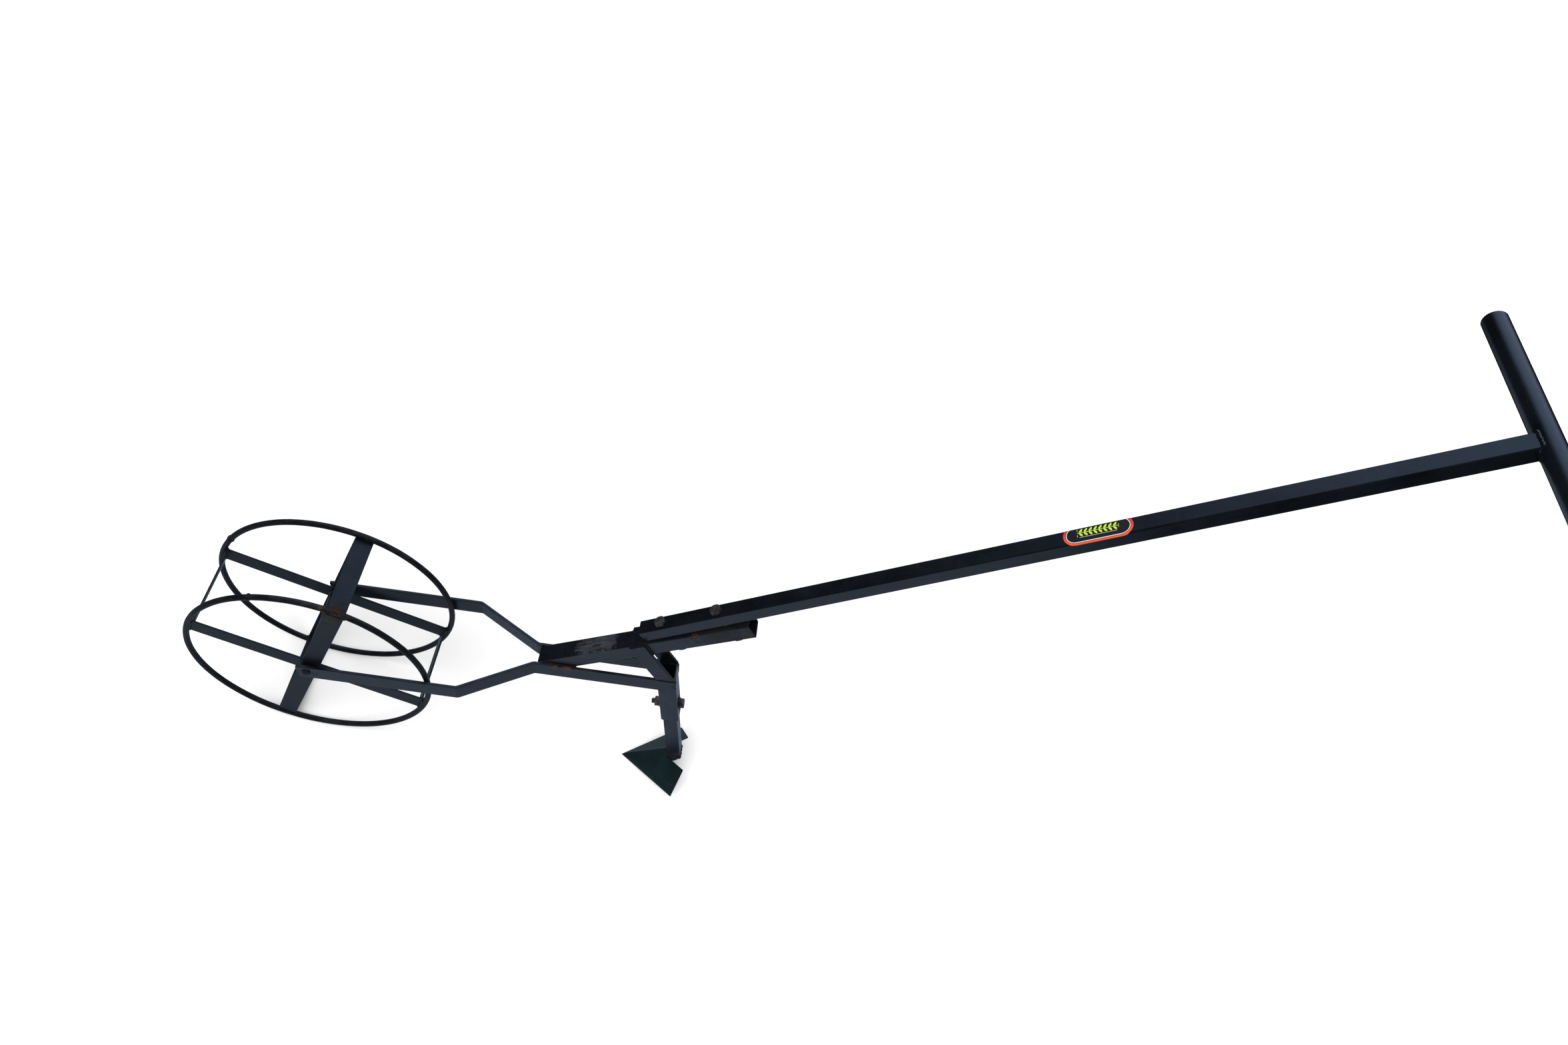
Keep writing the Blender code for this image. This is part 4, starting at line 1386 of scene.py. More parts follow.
# ---- cage wheel
@dataclass
class CageWheel(Assembly):
    """Two round-rod rings on flat spokes and cross strips, welded to a hub tube."""

    ring_steps: int = 200
    rod_steps: int = 20
    hub_wall: float = 0.0064
    run_gap: float = 0.0003
    edge: float = 0.0007
    butt_left: float = radians(117.5)
    butt_right: float = radians(154.1)
    dent: float = 0.0007
    weld_half: float = 0.0135
    hub_bead_in: float = 0.0014
    butt_points: int = 24
    butt_bead: Bead = Bead(radius=0.0016, ripple=0.0026, lumps=0.35)

    def spin(self, turn: float) -> Matrix:
        """Wheel axes turned so that +x lies on a spoke."""
        angle = self.layout.spoke_tilt - self.layout.pitch + turn
        return self.layout.wheel @ Matrix.Rotation(angle, 4, "Y")

    def lapped(self, side: Side, lap: int) -> float:
        """Middle y of a spoke that lies inside (-1) or outside (+1) of the one it crosses."""
        lay = self.layout
        return side.value * (lay.spacing / 2 + lap * (lay.gap + lay.flat_thick) / 2)

    def build(self) -> None:
        """Builds the wheel's pieces and its welds."""
        self.hub()
        for side in Side:
            self.ring(side)
            for letter, lap, turn in (("a", -1, 0.0), ("b", 1, -pi / 2)):
                self.spoke(f"wheel_spoke_{letter}_{side.word}", side, lap, turn)
        for name, lap, turn in (("rear", -1, 0.0), ("top", 1, -pi / 2), ("front", -1, pi),
                ("bottom", 1, pi / 2)):
            self.strip("wheel_strip_" + name, lap, turn)
        self.welds()

    def ring(self, side: Side) -> None:
        """One ring of round rod, with its slight hand-bent unevenness.

        Args:
            side: Which ring.
        """
        lay = self.layout
        rows = []
        for i in range(self.ring_steps):
            turn = 2 * pi * i / self.ring_steps
            outward = Vector((cos(turn), 0, sin(turn)))
            dip = self.dent * max(0.0, noise.noise(outward * 2.3 + Vector((0, side.value * 5, 0))))
            slim = 1 - 0.03 * abs(noise.noise(outward * 31))
            middle = outward * (lay.ring_radius - dip) + Vector((0, side.value * lay.spacing / 2, 0))
            rows.append([middle + outward * a * slim + Vector((0, b * slim, 0))
                    for a, b in circle(lay.rod / 2, self.rod_steps)])
        shell = Shell(lay.wheel).rows(rows, loop=True)
        name = "wheel_ring_" + side.word
        show(name, "rod", shell.mesh(name), Body.WHEEL, Slot.BLACK, self.paints.ring)

    def spoke(self, name: str, side: Side, lap: int, turn: float) -> None:
        """One full-diameter flat with eased edges, drilled for the axle.

        Args:
            name: CAD node it stands for.
            side: Which ring it lies in.
            lap: -1 inside the spoke it crosses, 1 outside.
            turn: Its angle about the axle.
        """
        lay = self.layout
        place, middle = self.spin(turn), self.lapped(side, lap)
        path = [Vector((-lay.flat_reach, middle, 0)), Vector((lay.flat_reach, middle, 0))]
        bar = Shell(place).swept(rounded_box(lay.flat_thick, lay.flat_width, self.edge, 3), path,
                Vector((0, 0, 1)), self.edge, middle_columns(3))
        low = middle - lay.flat_thick
        drill = Shell(place).rows([[across_y(a, b, h) for a, b in circle(lay.axle_dia / 2 + self.run_gap, 32)]
                for h in (low, low + 2 * lay.flat_thick)])
        data = cut(bar.mesh(name), [drill.mesh("drill")])
        show(name, "flat", data, Body.WHEEL, Slot.BLACK, self.paints.wheel)

    def strip(self, name: str, lap: int, turn: float) -> None:
        """One flat that joins the two rings' spokes across the wheel.

        Args:
            name: CAD node it stands for.
            lap: Lap of the spokes it joins.
            turn: Its angle about the axle.
        """
        lay = self.layout
        half = lay.spacing / 2 + lap * (lay.gap + lay.flat_thick) / 2 - lay.flat_thick / 2 - lay.gap
        x = lay.flat_reach - lay.flat_thick / 2
        path = [Vector((x, -half, 0)), Vector((x, half, 0))]
        bar = Shell(self.spin(turn)).swept(rounded_box(lay.flat_thick, lay.flat_width, self.edge, 3), path,
                Vector((0, 0, 1)), self.edge, middle_columns(3))
        show(name, "flat", bar.mesh(name), Body.WHEEL, Slot.BLACK, self.paints.wheel)

    def hub(self) -> None:
        """Thick tube that turns on the axle."""
        lay = self.layout
        half = lay.spacing / 2 - lay.gap * 1.5 - lay.flat_thick
        inner = lay.axle_dia / 2 + self.run_gap
        outer, soft = inner + self.hub_wall, self.edge
        section = [(outer, -half + soft), (outer, half - soft), (outer - soft, half), (inner + soft, half),
                (inner, half - soft), (inner, -half + soft), (inner + soft, -half), (outer - soft, -half)]
        shell = Shell(lay.wheel).turned_ring(section, 64, across_y)
        show("hub_tube", "turned", shell.mesh("hub_tube"), Body.WHEEL, Slot.BLACK, self.paints.wheel)

    def welds(self) -> None:
        """Beads at the spokes' ends, strips, hub and butt joints."""
        lay = self.layout
        ends, hub = Bead(radius=0.0024), Bead(radius=0.0023)
        small = Bead(radius=0.0017, ripple=0.0018)
        inside = lay.ring_radius - lay.rod / 2
        half_arc = asin((lay.flat_width / 2 - 0.0005) / inside)
        strips = Welds(Matrix(), 11)
        for turn_at, (turn, lap) in enumerate(((0.0, -1), (-pi / 2, 1), (pi, -1), (pi / 2, 1))):
            for side in Side:
                made = Welds(self.spin(turn), 100 + turn_at * 7 + side.value)
                middle = self.lapped(side, lap)
                for face in (-1, 1):
                    y = middle + face * (lay.flat_thick / 2 + OFF_FACE)
                    arc = [Vector(((inside + OFF_EDGE) * cos(t), y, (inside + OFF_EDGE) * sin(t)))
                           for t in (half_arc * (k / 6 - 1) for k in range(13))]
                    made.bead(arc, ends)
                for edge in (-1, 1):
                    z = edge * (lay.flat_width / 2 + OFF_EDGE)
                    made.bead([Vector((inside - 0.0035, middle, z)),
                            Vector((inside + 0.0008, middle, z * 1.03))], ends)
                half = abs(middle) - lay.flat_thick / 2 - lay.gap
                for x in (lay.flat_reach - lay.flat_thick - OFF_EDGE, lay.flat_reach + 0.0002):
                    y = side.value * (half - OFF_EDGE)
                    made.bead([Vector((x, y, -self.weld_half)), Vector((x, y, self.weld_half))], small)
                self.take(strips, made)
        for side in Side:
            made = Welds(self.spin(0.0), 40 + side.value)
            reach = lay.axle_dia / 2 + self.run_gap + self.hub_wall + OFF_ROUND
            y = side.value * (lay.spacing / 2 - lay.gap - lay.flat_thick - self.hub_bead_in)
            made.bead([across_y(a, b, y) for a, b in circle(reach, 40)], hub, closed=True)
            cross = side.value * lay.spacing / 2
            span = lay.flat_width / 2
            for edge in (-1, 1):
                e = edge * (span + OFF_ROUND)
                made.bead([Vector((e, cross + side.value * OFF_EDGE, -span)),
                        Vector((e, cross + side.value * OFF_EDGE, span))], small)
                made.bead([Vector((-span, cross - side.value * OFF_EDGE, e)),
                        Vector((span, cross - side.value * OFF_EDGE, e))], small)
            self.take(strips, made)
            butt = self.butt_left if side is Side.LEFT else self.butt_right
            joint = Welds(lay.wheel, 60 + side.value)
            outward = Vector((cos(butt), 0, sin(butt)))
            middle = outward * lay.ring_radius + Vector((0, side.value * lay.spacing / 2, 0))
            joint.bead([middle + outward * a + Vector((0, b, 0))
                        for a, b in circle(lay.rod / 2 - 0.0002, self.butt_points)],
                       self.butt_bead, closed=True)
            self.take(strips, joint)
        strips.show("wheel_welds", Body.WHEEL, Slot.BLACK, self.paints.weld)

    @staticmethod
    def take(whole: Welds, part: Welds) -> None:
        """Adds one group of placed beads to another."""
        whole.shell.add(part.shell)


# ---- fork
@dataclass
class Fork(Assembly):
    """Bent flat arms, struts, axle and its spacers, with their welds."""

    edge: float = 0.0008
    bend: float = 0.011
    axle_proud: float = 0.004
    dome: float = 0.0018
    spacer_wall: float = 0.005
    strut_width: float = 0.028
    strut_angle: float = radians(62.8)

    def build(self) -> None:
        """Builds the fork's pieces and its welds."""
        for side in Side:
            self.arm(side)
            self.spacer(side)
            name = "strut_" + side.word
            show(name, "flat", eased(cad_copy(name), self.edge), Body.FRAME, Slot.BLACK, self.paints.fork)
        self.axle()
        self.welds()

    def arm(self, side: Side) -> None:
        """One flat on edge, bent in to the beam and back along the sleeve.

        Args:
            side: Which arm.
        """
        lay = self.layout
        wide = lay.arm_spread / 2
        end = lay.sleeve_x + lay.tube_width / 2 + lay.gap
        corners = [Vector((x, side.value * y, 0)) for x, y in
                ((-lay.arm_nose, wide), (lay.arm_bend_x, wide), (lay.arm_join_x, lay.arm_side),
                (end, lay.arm_side))]
        name = "fork_arm_" + side.word
        bar = Shell(lay.fork).swept(rounded_box(lay.arm_thick, lay.arm_height, self.edge, 3),
                filleted(corners, self.bend), Vector((0, 0, 1)), self.edge, middle_columns(3))
        drill = Shell(lay.fork).rows([[across_y(a, b, h) for a, b in circle(lay.axle_dia / 2 + lay.gap, 32)]
                for h in (side.value * wide - lay.arm_thick, side.value * wide + lay.arm_thick)])
        data = cut(bar.mesh(name), [drill.mesh("drill")])
        show(name, "flat", data, Body.FRAME, Slot.BLACK, self.paints.fork)

    def axle(self) -> None:
        """Round axle with its ends peened into low domes."""
        lay = self.layout
        half = lay.arm_spread / 2 + lay.arm_thick / 2 + self.axle_proud
        radius, dome = lay.axle_dia / 2, self.dome
        arc = [(radius * cos(t), half - dome + dome * sin(t)) for t in (pi / 2 * k / 6 for k in range(7))]
        profile = [(0.0, -half)] + [(r, -h) for r, h in reversed(arc[:-1])] + arc[:-1] + [(0.0, half)]
        shell = Shell(self.layout.fork).turned(profile, 40, across_y)
        show("axle_rod", "turned", shell.mesh("axle_rod"), Body.FRAME, Slot.BLACK, self.paints.fork)

    def spacer(self, side: Side) -> None:
        """Ring on the axle between the wheel and an arm.

        Args:
            side: Which arm.
        """
        lay = self.layout
        inner = lay.spacing / 2 + lay.gap * 1.5 + lay.flat_thick
        outer = lay.arm_spread / 2 - lay.arm_thick / 2 - lay.gap
        low, high = sorted((side.value * inner, side.value * outer))
        hole, reach, soft = lay.axle_dia / 2 + lay.gap, lay.axle_dia / 2 + self.spacer_wall, 0.0005
        section = [(hole, low), (reach - soft, low), (reach, low + soft), (reach, high - soft),
                (reach - soft, high), (hole, high)]
        name = "axle_spacer_" + side.word
        shell = Shell(lay.fork).turned_ring(section, 48, across_y)
        show(name, "turned", shell.mesh(name), Body.FRAME, Slot.BLACK, self.paints.fork)

    def beam_line(self, x: float, up: float) -> float:
        """Height of the beam's top (0) or lower (-1) face line at a distance along the fork."""
        lay = self.layout
        return lay.nose_z + (x - lay.nose_x) * tan(lay.beam_angle) + up * lay.tube_width / cos(lay.beam_angle)

    def welds(self) -> None:
        """Beads that hold axle, arms, beam, struts and sleeve together."""
        lay = self.layout
        made = Welds(lay.fork, 5)
        top, face = lay.arm_height / 2, lay.tube_width / 2
        plain, fine = Bead(radius=0.0017, ripple=0.0021), Bead(radius=0.0013, ripple=0.0018)
        heavy = Bead(radius=0.0021, ripple=0.0026, lumps=0.4)
        slope = tan(lay.beam_angle)
        enters = lay.nose_x + (top - self.beam_line(lay.nose_x, -1)) / slope
        leaves = lay.nose_x + (-top - self.beam_line(lay.nose_x, -1)) / slope
        nose_foot = Vector((lay.nose_x + lay.tube_width * sin(lay.beam_angle), 0,
                lay.nose_z - lay.tube_width * cos(lay.beam_angle)))
        for side in Side:
            s = side.value
            outer = s * (lay.arm_spread / 2 + lay.arm_thick / 2 + OFF_EDGE)
            round_end = circle(lay.axle_dia / 2 + OFF_FACE, 30)[2:26]
            made.bead([across_y(a, b, outer) for a, b in round_end], heavy)
            end = outer + s * (self.axle_proud - self.dome)
            made.bead([across_y(-0.005, 0.001, end), across_y(0.004, -0.002, end)], heavy)
            made.spatter(Vector((0.012, outer, 0)), Vector((0.008, 0, 0)), Vector((0, 0, 0.007 * s)), 6,
                    0.0008)
            y = s * (face + 0.0008)
            made.bead([Vector((lay.nose_x + 0.004, y, top + OFF_EDGE)), Vector((enters, y, top + OFF_EDGE))],
                    plain)
            made.bead([Vector((leaves + 0.004, y, -top - 0.0002)),
                    Vector((leaves + 0.030, y, -top - 0.0002))], fine)
            made.bead([Vector((lay.nose_x, y, lay.nose_z - 0.001)), nose_foot + Vector((0, y, 0.001))], fine)
            for share in (0.2, 0.6, 0.9):
                spot = Vector((lay.nose_x + (enters - lay.nose_x) * share, s * (face + lay.arm_thick),
                        top * 0.5))
                made.spatter(spot, Vector((0.008, 0, 0)), Vector((0, 0, 0.006 * s)), 3, 0.0007)
            self.strut_welds(made, side, plain, fine)
        made.show("fork_welds", Body.FRAME, Slot.BLACK, self.paints.weld)

    def strut_welds(self, made: Welds, side: Side, plain: Bead, fine: Bead) -> None:
        """Beads along one strut, at its foot and at the arm's rear end.

        Args:
            made: Where the beads go.
            side: Which strut.
            plain: Style of the long beads.
            fine: Style of the small beads.
        """
        lay = self.layout
        s, top, face = side.value, lay.arm_height / 2, lay.tube_width / 2
        climb = Vector((-cos(self.strut_angle), 0, sin(self.strut_angle)))
        reach = self.strut_width / 2 / sin(self.strut_angle)
        slope = tan(lay.beam_angle)
        for edge in (-1, 1):
            foot = Vector((lay.sleeve_x + edge * reach, s * (face + OFF_FACE), top))
            rate = climb.z - climb.x * slope
            low = (self.beam_line(foot.x, -1) - top) / rate
            high = (self.beam_line(foot.x, 0) - top) / rate
            shift = Vector((edge * OFF_FACE, 0, 0))
            made.bead([foot + climb * low + shift, foot + climb * (high - 0.0015) + shift], plain)
        outer = s * (face + lay.gap + lay.arm_thick + 0.0001)
        made.bead([Vector((lay.sleeve_x - reach + 0.001, outer, top)),
                Vector((lay.sleeve_x + reach - 0.001, outer, top))], fine)
        end = lay.sleeve_x + face + lay.gap
        lean = -tan(lay.sleeve_tilt)
        made.bead([Vector((end + 0.0002, s * (face + 0.0014), top - 0.001)),
                Vector((end + 0.0002, s * (face + 0.0014), -top + 0.001))], plain)
        under = -top - OFF_EDGE
        made.bead([Vector((lay.sleeve_x - face - under * lean, s * (face + 0.0008), under)),
                Vector((end - 0.002, s * (face + 0.0008), under))], plain)
        spot = Vector((end - 0.004, s * (face + lay.arm_thick + lay.gap), 0.002))
        made.spatter(spot, Vector((0.005, 0, 0)), Vector((0, 0, 0.011 * s)), 9)


# ---- square tubes
def square_tube(place: Matrix, width: float, wall: float, low: float, high: float,
        axis: Place, middle: Vector, lip: float = 0.0004) -> Shell:
    """A square tube with rounded corners and eased rims.

    Args:
        place: Axes that the tube lies in.
        width: Outer width.
        wall: Wall thickness, and the outer corners' radius.
        low: Start along its axis.
        high: End along its axis.
        axis: Maps across, across and along to a local point.
        middle: Added to every point.
        lip: Ease of its rims.

    Returns:
        The tube as a shell.
    """
    steps = 6
    outer = rounded_box(width, width, wall, steps)
    inner = rounded_box(width - 2 * wall, width - 2 * wall, wall * 0.4, steps)
    close = rounded_box(width - 2 * lip, width - 2 * lip, wall - lip, steps)
    wide = rounded_box(width - 2 * wall + 2 * lip, width - 2 * wall + 2 * lip, wall * 0.4 + lip, steps)
    order = ((close, low), (outer, low + lip), (outer, high - lip), (close, high),
            (wide, high), (inner, high - lip), (inner, low + lip), (wide, low))
    rows = [[axis(a, b, at) + middle for a, b in outline] for outline, at in order]
    return Shell(place).rows(rows, loop=True, marked=middle_columns(steps), rims={0, 2})


def drill(place: Matrix, radius: float, low: float, high: float,
        axis: Place, centre: Vector) -> bpy.types.Mesh:
    """A round cutter."""
    rows = [[axis(a, b, h) + centre for a, b in circle(radius, 32)] for h in (low, high)]
    return Shell(place).rows(rows).mesh("drill")


@dataclass
class Beam(Assembly):
    """Square-tube beam, open at its rear end and drilled for the handle's bolts."""

    wall: float = 0.0025

    def build(self) -> None:
        """Builds the beam."""
        lay = self.layout
        middle = Vector((0, 0, -lay.tube_width / 2))
        tube = square_tube(lay.beam, lay.tube_width, self.wall, 0, lay.beam_length, across_x, middle)
        holes = [drill(lay.handle, lay.bolt_hole, -2 * lay.tube_width, lay.handle_width, across_z,
                Vector((lay.bolt_first + k * lay.bolt_pitch, 0, 0))) for k in range(2)]
        show("frame_beam", "tube", cut(tube.mesh("frame_beam"), holes), Body.FRAME, Slot.BLACK,
                self.paints.beam, radians(50))


@dataclass
class Handle(Assembly):
    """Square-tube handle with a round T grip, its bolts and its label."""

    hardware: Hardware = Hardware()
    wall: float = 0.002
    grip_wall: float = 0.002
    grip_length: float = 0.426
    cap: float = 0.004
    round_over: float = 0.0032
    spacer_rim: float = 0.0035

    def build(self) -> None:
        """Builds the handle, grip, bolts and welds."""
        self.tube()
        self.grip()
        for k, place in enumerate(("front", "rear")):
            self.bolt(place, self.layout.bolt_first + k * self.layout.bolt_pitch)
        self.spacer()
        self.welds()

    def tube(self) -> None:
        """Square tube, open in front and saddled to the grip."""
        lay = self.layout
        half = lay.handle_width / 2
        tube = square_tube(lay.handle, lay.handle_width, self.wall, 0, lay.grip_centre, across_x,
                Vector((0, 0, half)))
        holes = [drill(lay.handle, lay.bolt_hole, -lay.handle_width, 2 * lay.handle_width, across_z,
                Vector((lay.bolt_first + k * lay.bolt_pitch, 0, 0))) for k in range(2)]
        rows = [[across_y(a, b, h) + Vector((lay.grip_centre, 0, half))
                 for a, b in circle(lay.grip_dia / 2 + 0.0001, 96)]
                for h in (-0.1, 0.1)]
        holes.append(Shell(lay.handle).rows(rows).mesh("saddle"))
        show("handle_tube", "square", cut(tube.mesh("handle_tube"), holes), Body.FRAME, Slot.BLACK,
                self.paints.handle, radians(50))

    def grip(self) -> None:
        """Round tube closed by caps that are ground round."""
        lay = self.layout
        centre = Vector((lay.grip_centre, 0, lay.handle_width / 2))
        place = lay.handle @ Matrix.Translation(centre)
        radius = lay.grip_dia / 2
        half = self.grip_length / 2 - self.cap
        inner = radius - self.grip_wall
        outline = [(radius, -half), (radius, half), (inner, half), (inner, -half)]
        skin = Shell(place).turned_ring(outline, 96, across_y)
        show("grip_tube", "round", skin.mesh("grip_tube"), Body.FRAME, Slot.BLACK, self.paints.handle)
        for side in Side:
            s, turn_in = side.value, self.round_over
            arc = [(radius - turn_in + turn_in * cos(t), half + self.cap - turn_in + turn_in * sin(t))
                   for t in (pi / 2 * k / 8 for k in range(9))]
            profile = [(0.0, half)] + [(radius, half)] + arc + [(0.0, half + self.cap)]
            name = "grip_end_cap_" + side.word
            shell = Shell(place).turned([(r, s * h) for r, h in profile], 96, across_y)
            show(name, "round", shell.mesh(name), Body.FRAME, Slot.BLACK, self.paints.handle)

    def bolt(self, where: str, along: float) -> None:
        """One bolt down through handle and beam, with its nut and washer.

        Args:
            where: Front or rear, as in the CAD's nodes.
            along: Its place along the handle.
        """
        lay, kit = self.layout, self.hardware
        tilt = tan(lay.handle_lift)
        place = lay.handle @ Matrix.Translation((along, 0, 0))
        under = -(lay.tube_width + lay.gap) / cos(lay.handle_lift) - along * tilt
        washer_top = under - kit.washer_dia / 2 * tilt - lay.gap
        nut_top = washer_top - kit.washer - lay.gap
        end = nut_top - kit.nut - kit.proud
        kit.bolt("handle_bolt_" + where, place, lay.handle_width + lay.gap, end, across_z, Body.FRAME,
                self.paints.steel)
        nut, washer = Shell(place), Shell(place)
        kit.hexagon(nut, nut_top - kit.nut, nut_top, across_z, bore=kit.thread / 2 + lay.gap)
        kit.washer_ring(washer, washer_top - kit.washer, washer_top, across_z)
        for name, shell in (("handle_nut_" + where, nut), ("handle_washer_" + where, washer)):
            show(name, "turned", eased(shell.mesh(name), 0.0002), Body.FRAME, Slot.STEEL, self.paints.steel)

    def spacer(self) -> None:
        """Ring round the rear bolt, where handle and beam stand apart."""
        lay, kit = self.layout, self.hardware
        along = lay.bolt_first + lay.bolt_pitch
        reach = kit.thread / 2 + self.spacer_rim
        low = (reach - along) * tan(lay.handle_lift) + lay.gap
        shell = Shell(lay.handle @ Matrix.Translation((along, 0, 0)))
        kit.washer_ring(shell, low, -lay.gap, across_z, reach)
        show("handle_spacer", "turned", shell.mesh("handle_spacer"), Body.FRAME, Slot.STEEL,
                self.paints.steel)

    def welds(self) -> None:
        """Bead right round the handle's end on the grip."""
        lay = self.layout
        half, radius = lay.handle_width / 2, lay.grip_dia / 2
        made = Welds(lay.handle, 23)
        path = []
        for a, b in rounded_box(lay.handle_width + 0.0010, lay.handle_width + 0.0010, 0.0025, 3):
            back = sqrt(max(radius ** 2 - b ** 2, 0.0))
            path.append(Vector((lay.grip_centre - back - OFF_EDGE, a, half + b)))
        made.bead(path, Bead(radius=0.0026, ripple=0.0030, depth=0.08, lumps=0.22), closed=True)
        made.spatter(Vector((lay.grip_centre - radius - 0.010, -half, half)), Vector((0.006, 0, 0)),
                Vector((0, 0, -0.006)), 3, 0.0006)
        made.show("grip_welds", Body.FRAME, Slot.BLACK, self.paints.handle)


@dataclass
class Label(Assembly):
    """Oval printed sticker wrapped over the handle's top."""

    middle: float = 0.726
    shift: float = 0.0018
    length: float = 0.092
    width: float = 0.034
    corner: float = 0.002
    lift: float = 0.00012
    thick: float = 0.00016
    across: int = 48
    along: int = 96

    def wrapped(self, v: float, out: float) -> Flat:
        """Where a point of the flat sheet lies round the handle's section.

        Args:
            v: Distance across the sheet from the handle's middle.
            out: Height over the handle's skin.

        Returns:
            y and z about the handle's middle.
        """
        half = self.layout.handle_width / 2
        flat, sign = half - self.corner, 1 if v > 0 else -1
        beyond = abs(v) - flat
        if beyond <= 0:
            return v, half + out
        turn = beyond / self.corner
        if turn < pi / 2:
            reach = self.corner + out
            return sign * (flat + reach * sin(turn)), flat + reach * cos(turn)
        return sign * (half + out), flat - (beyond - self.corner * pi / 2)

    def build(self) -> None:
        """Builds the sheet with its flat coordinates for the print."""
        lay = self.layout
        radius = self.width / 2
        straight = self.length / 2 - radius
        points, flats, faces = [], [], []
        for i in range(self.along + 1):
            u = -self.length / 2 * cos(pi * i / self.along)
            past = max(abs(u) - straight, 0.0)
            half = sqrt(max(radius ** 2 - past ** 2, 0.0)) + 1e-6
            for layer in (1, 0):
                for k in range(self.across + 1):
                    v = half * (2 * k / self.across - 1)
                    y, z = self.wrapped(v + self.shift, self.lift + layer * self.thick)
                    points.append(lay.handle @ Vector((self.middle + u, y, z + lay.handle_width / 2)))
                    flats.append((u, v))
        row, sheet = 2 * (self.across + 1), self.across + 1
        for i in range(self.along):
            a, b = i * row, (i + 1) * row
            for k in range(self.across):
                faces.append((a + k, b + k, b + k + 1, a + k + 1))
                faces.append((a + sheet + k, a + sheet + k + 1, b + sheet + k + 1, b + sheet + k))
            for k in (0, self.across):
                faces.append((a + k, a + sheet + k, b + sheet + k, b + k))
        last = self.along * row
        for start in (0, last):
            faces.extend((start + k, start + k + 1, start + sheet + k + 1, start + sheet + k)
                    for k in range(self.across))
        data = bpy.data.meshes.new("handle_label")
        data.from_pydata([tuple(p) for p in points], [], faces)
        layer = data.uv_layers.new(name="flat")
        for loop in data.loops:
            layer.data[loop.index].uv = flats[loop.vertex_index]
        work = bmesh.new()
        work.from_mesh(data)
        bmesh.ops.recalc_face_normals(work, faces=work.faces)
        work.to_mesh(data)
        work.free()
        show("handle_label", "sheet", data, Body.FRAME, Slot.LABEL, self.paints.label)


# ---- sleeve and tool
@dataclass
class Sleeve(Assembly):
    """Square-tube sleeve with long holes for the clamp bolt."""

    wall: float = 0.0025
    travel: float = 0.020

    def build(self) -> None:
        """Builds the slotted sleeve."""
        lay = self.layout
        tube = square_tube(lay.sleeve, lay.tube_width, self.wall, -lay.sleeve_length, 0, across_z, Vector())
        arc = circle(lay.bolt_hole, 32)[:17]
        outline = [(a, b - lay.clamp_depth + self.travel) for a, b in arc]
        outline += [(-a, -b - lay.clamp_depth - self.travel) for a, b in arc]
        slot = Shell(lay.sleeve).rows([[across_x(a, b, h) for a, b in outline]
                for h in (-lay.tube_width, lay.tube_width)])
        show("tool_sleeve", "tube", cut(tube.mesh("tool_sleeve"), [slot.mesh("slot")]), Body.FRAME,
                Slot.BLACK, self.paints.sleeve, radians(50))


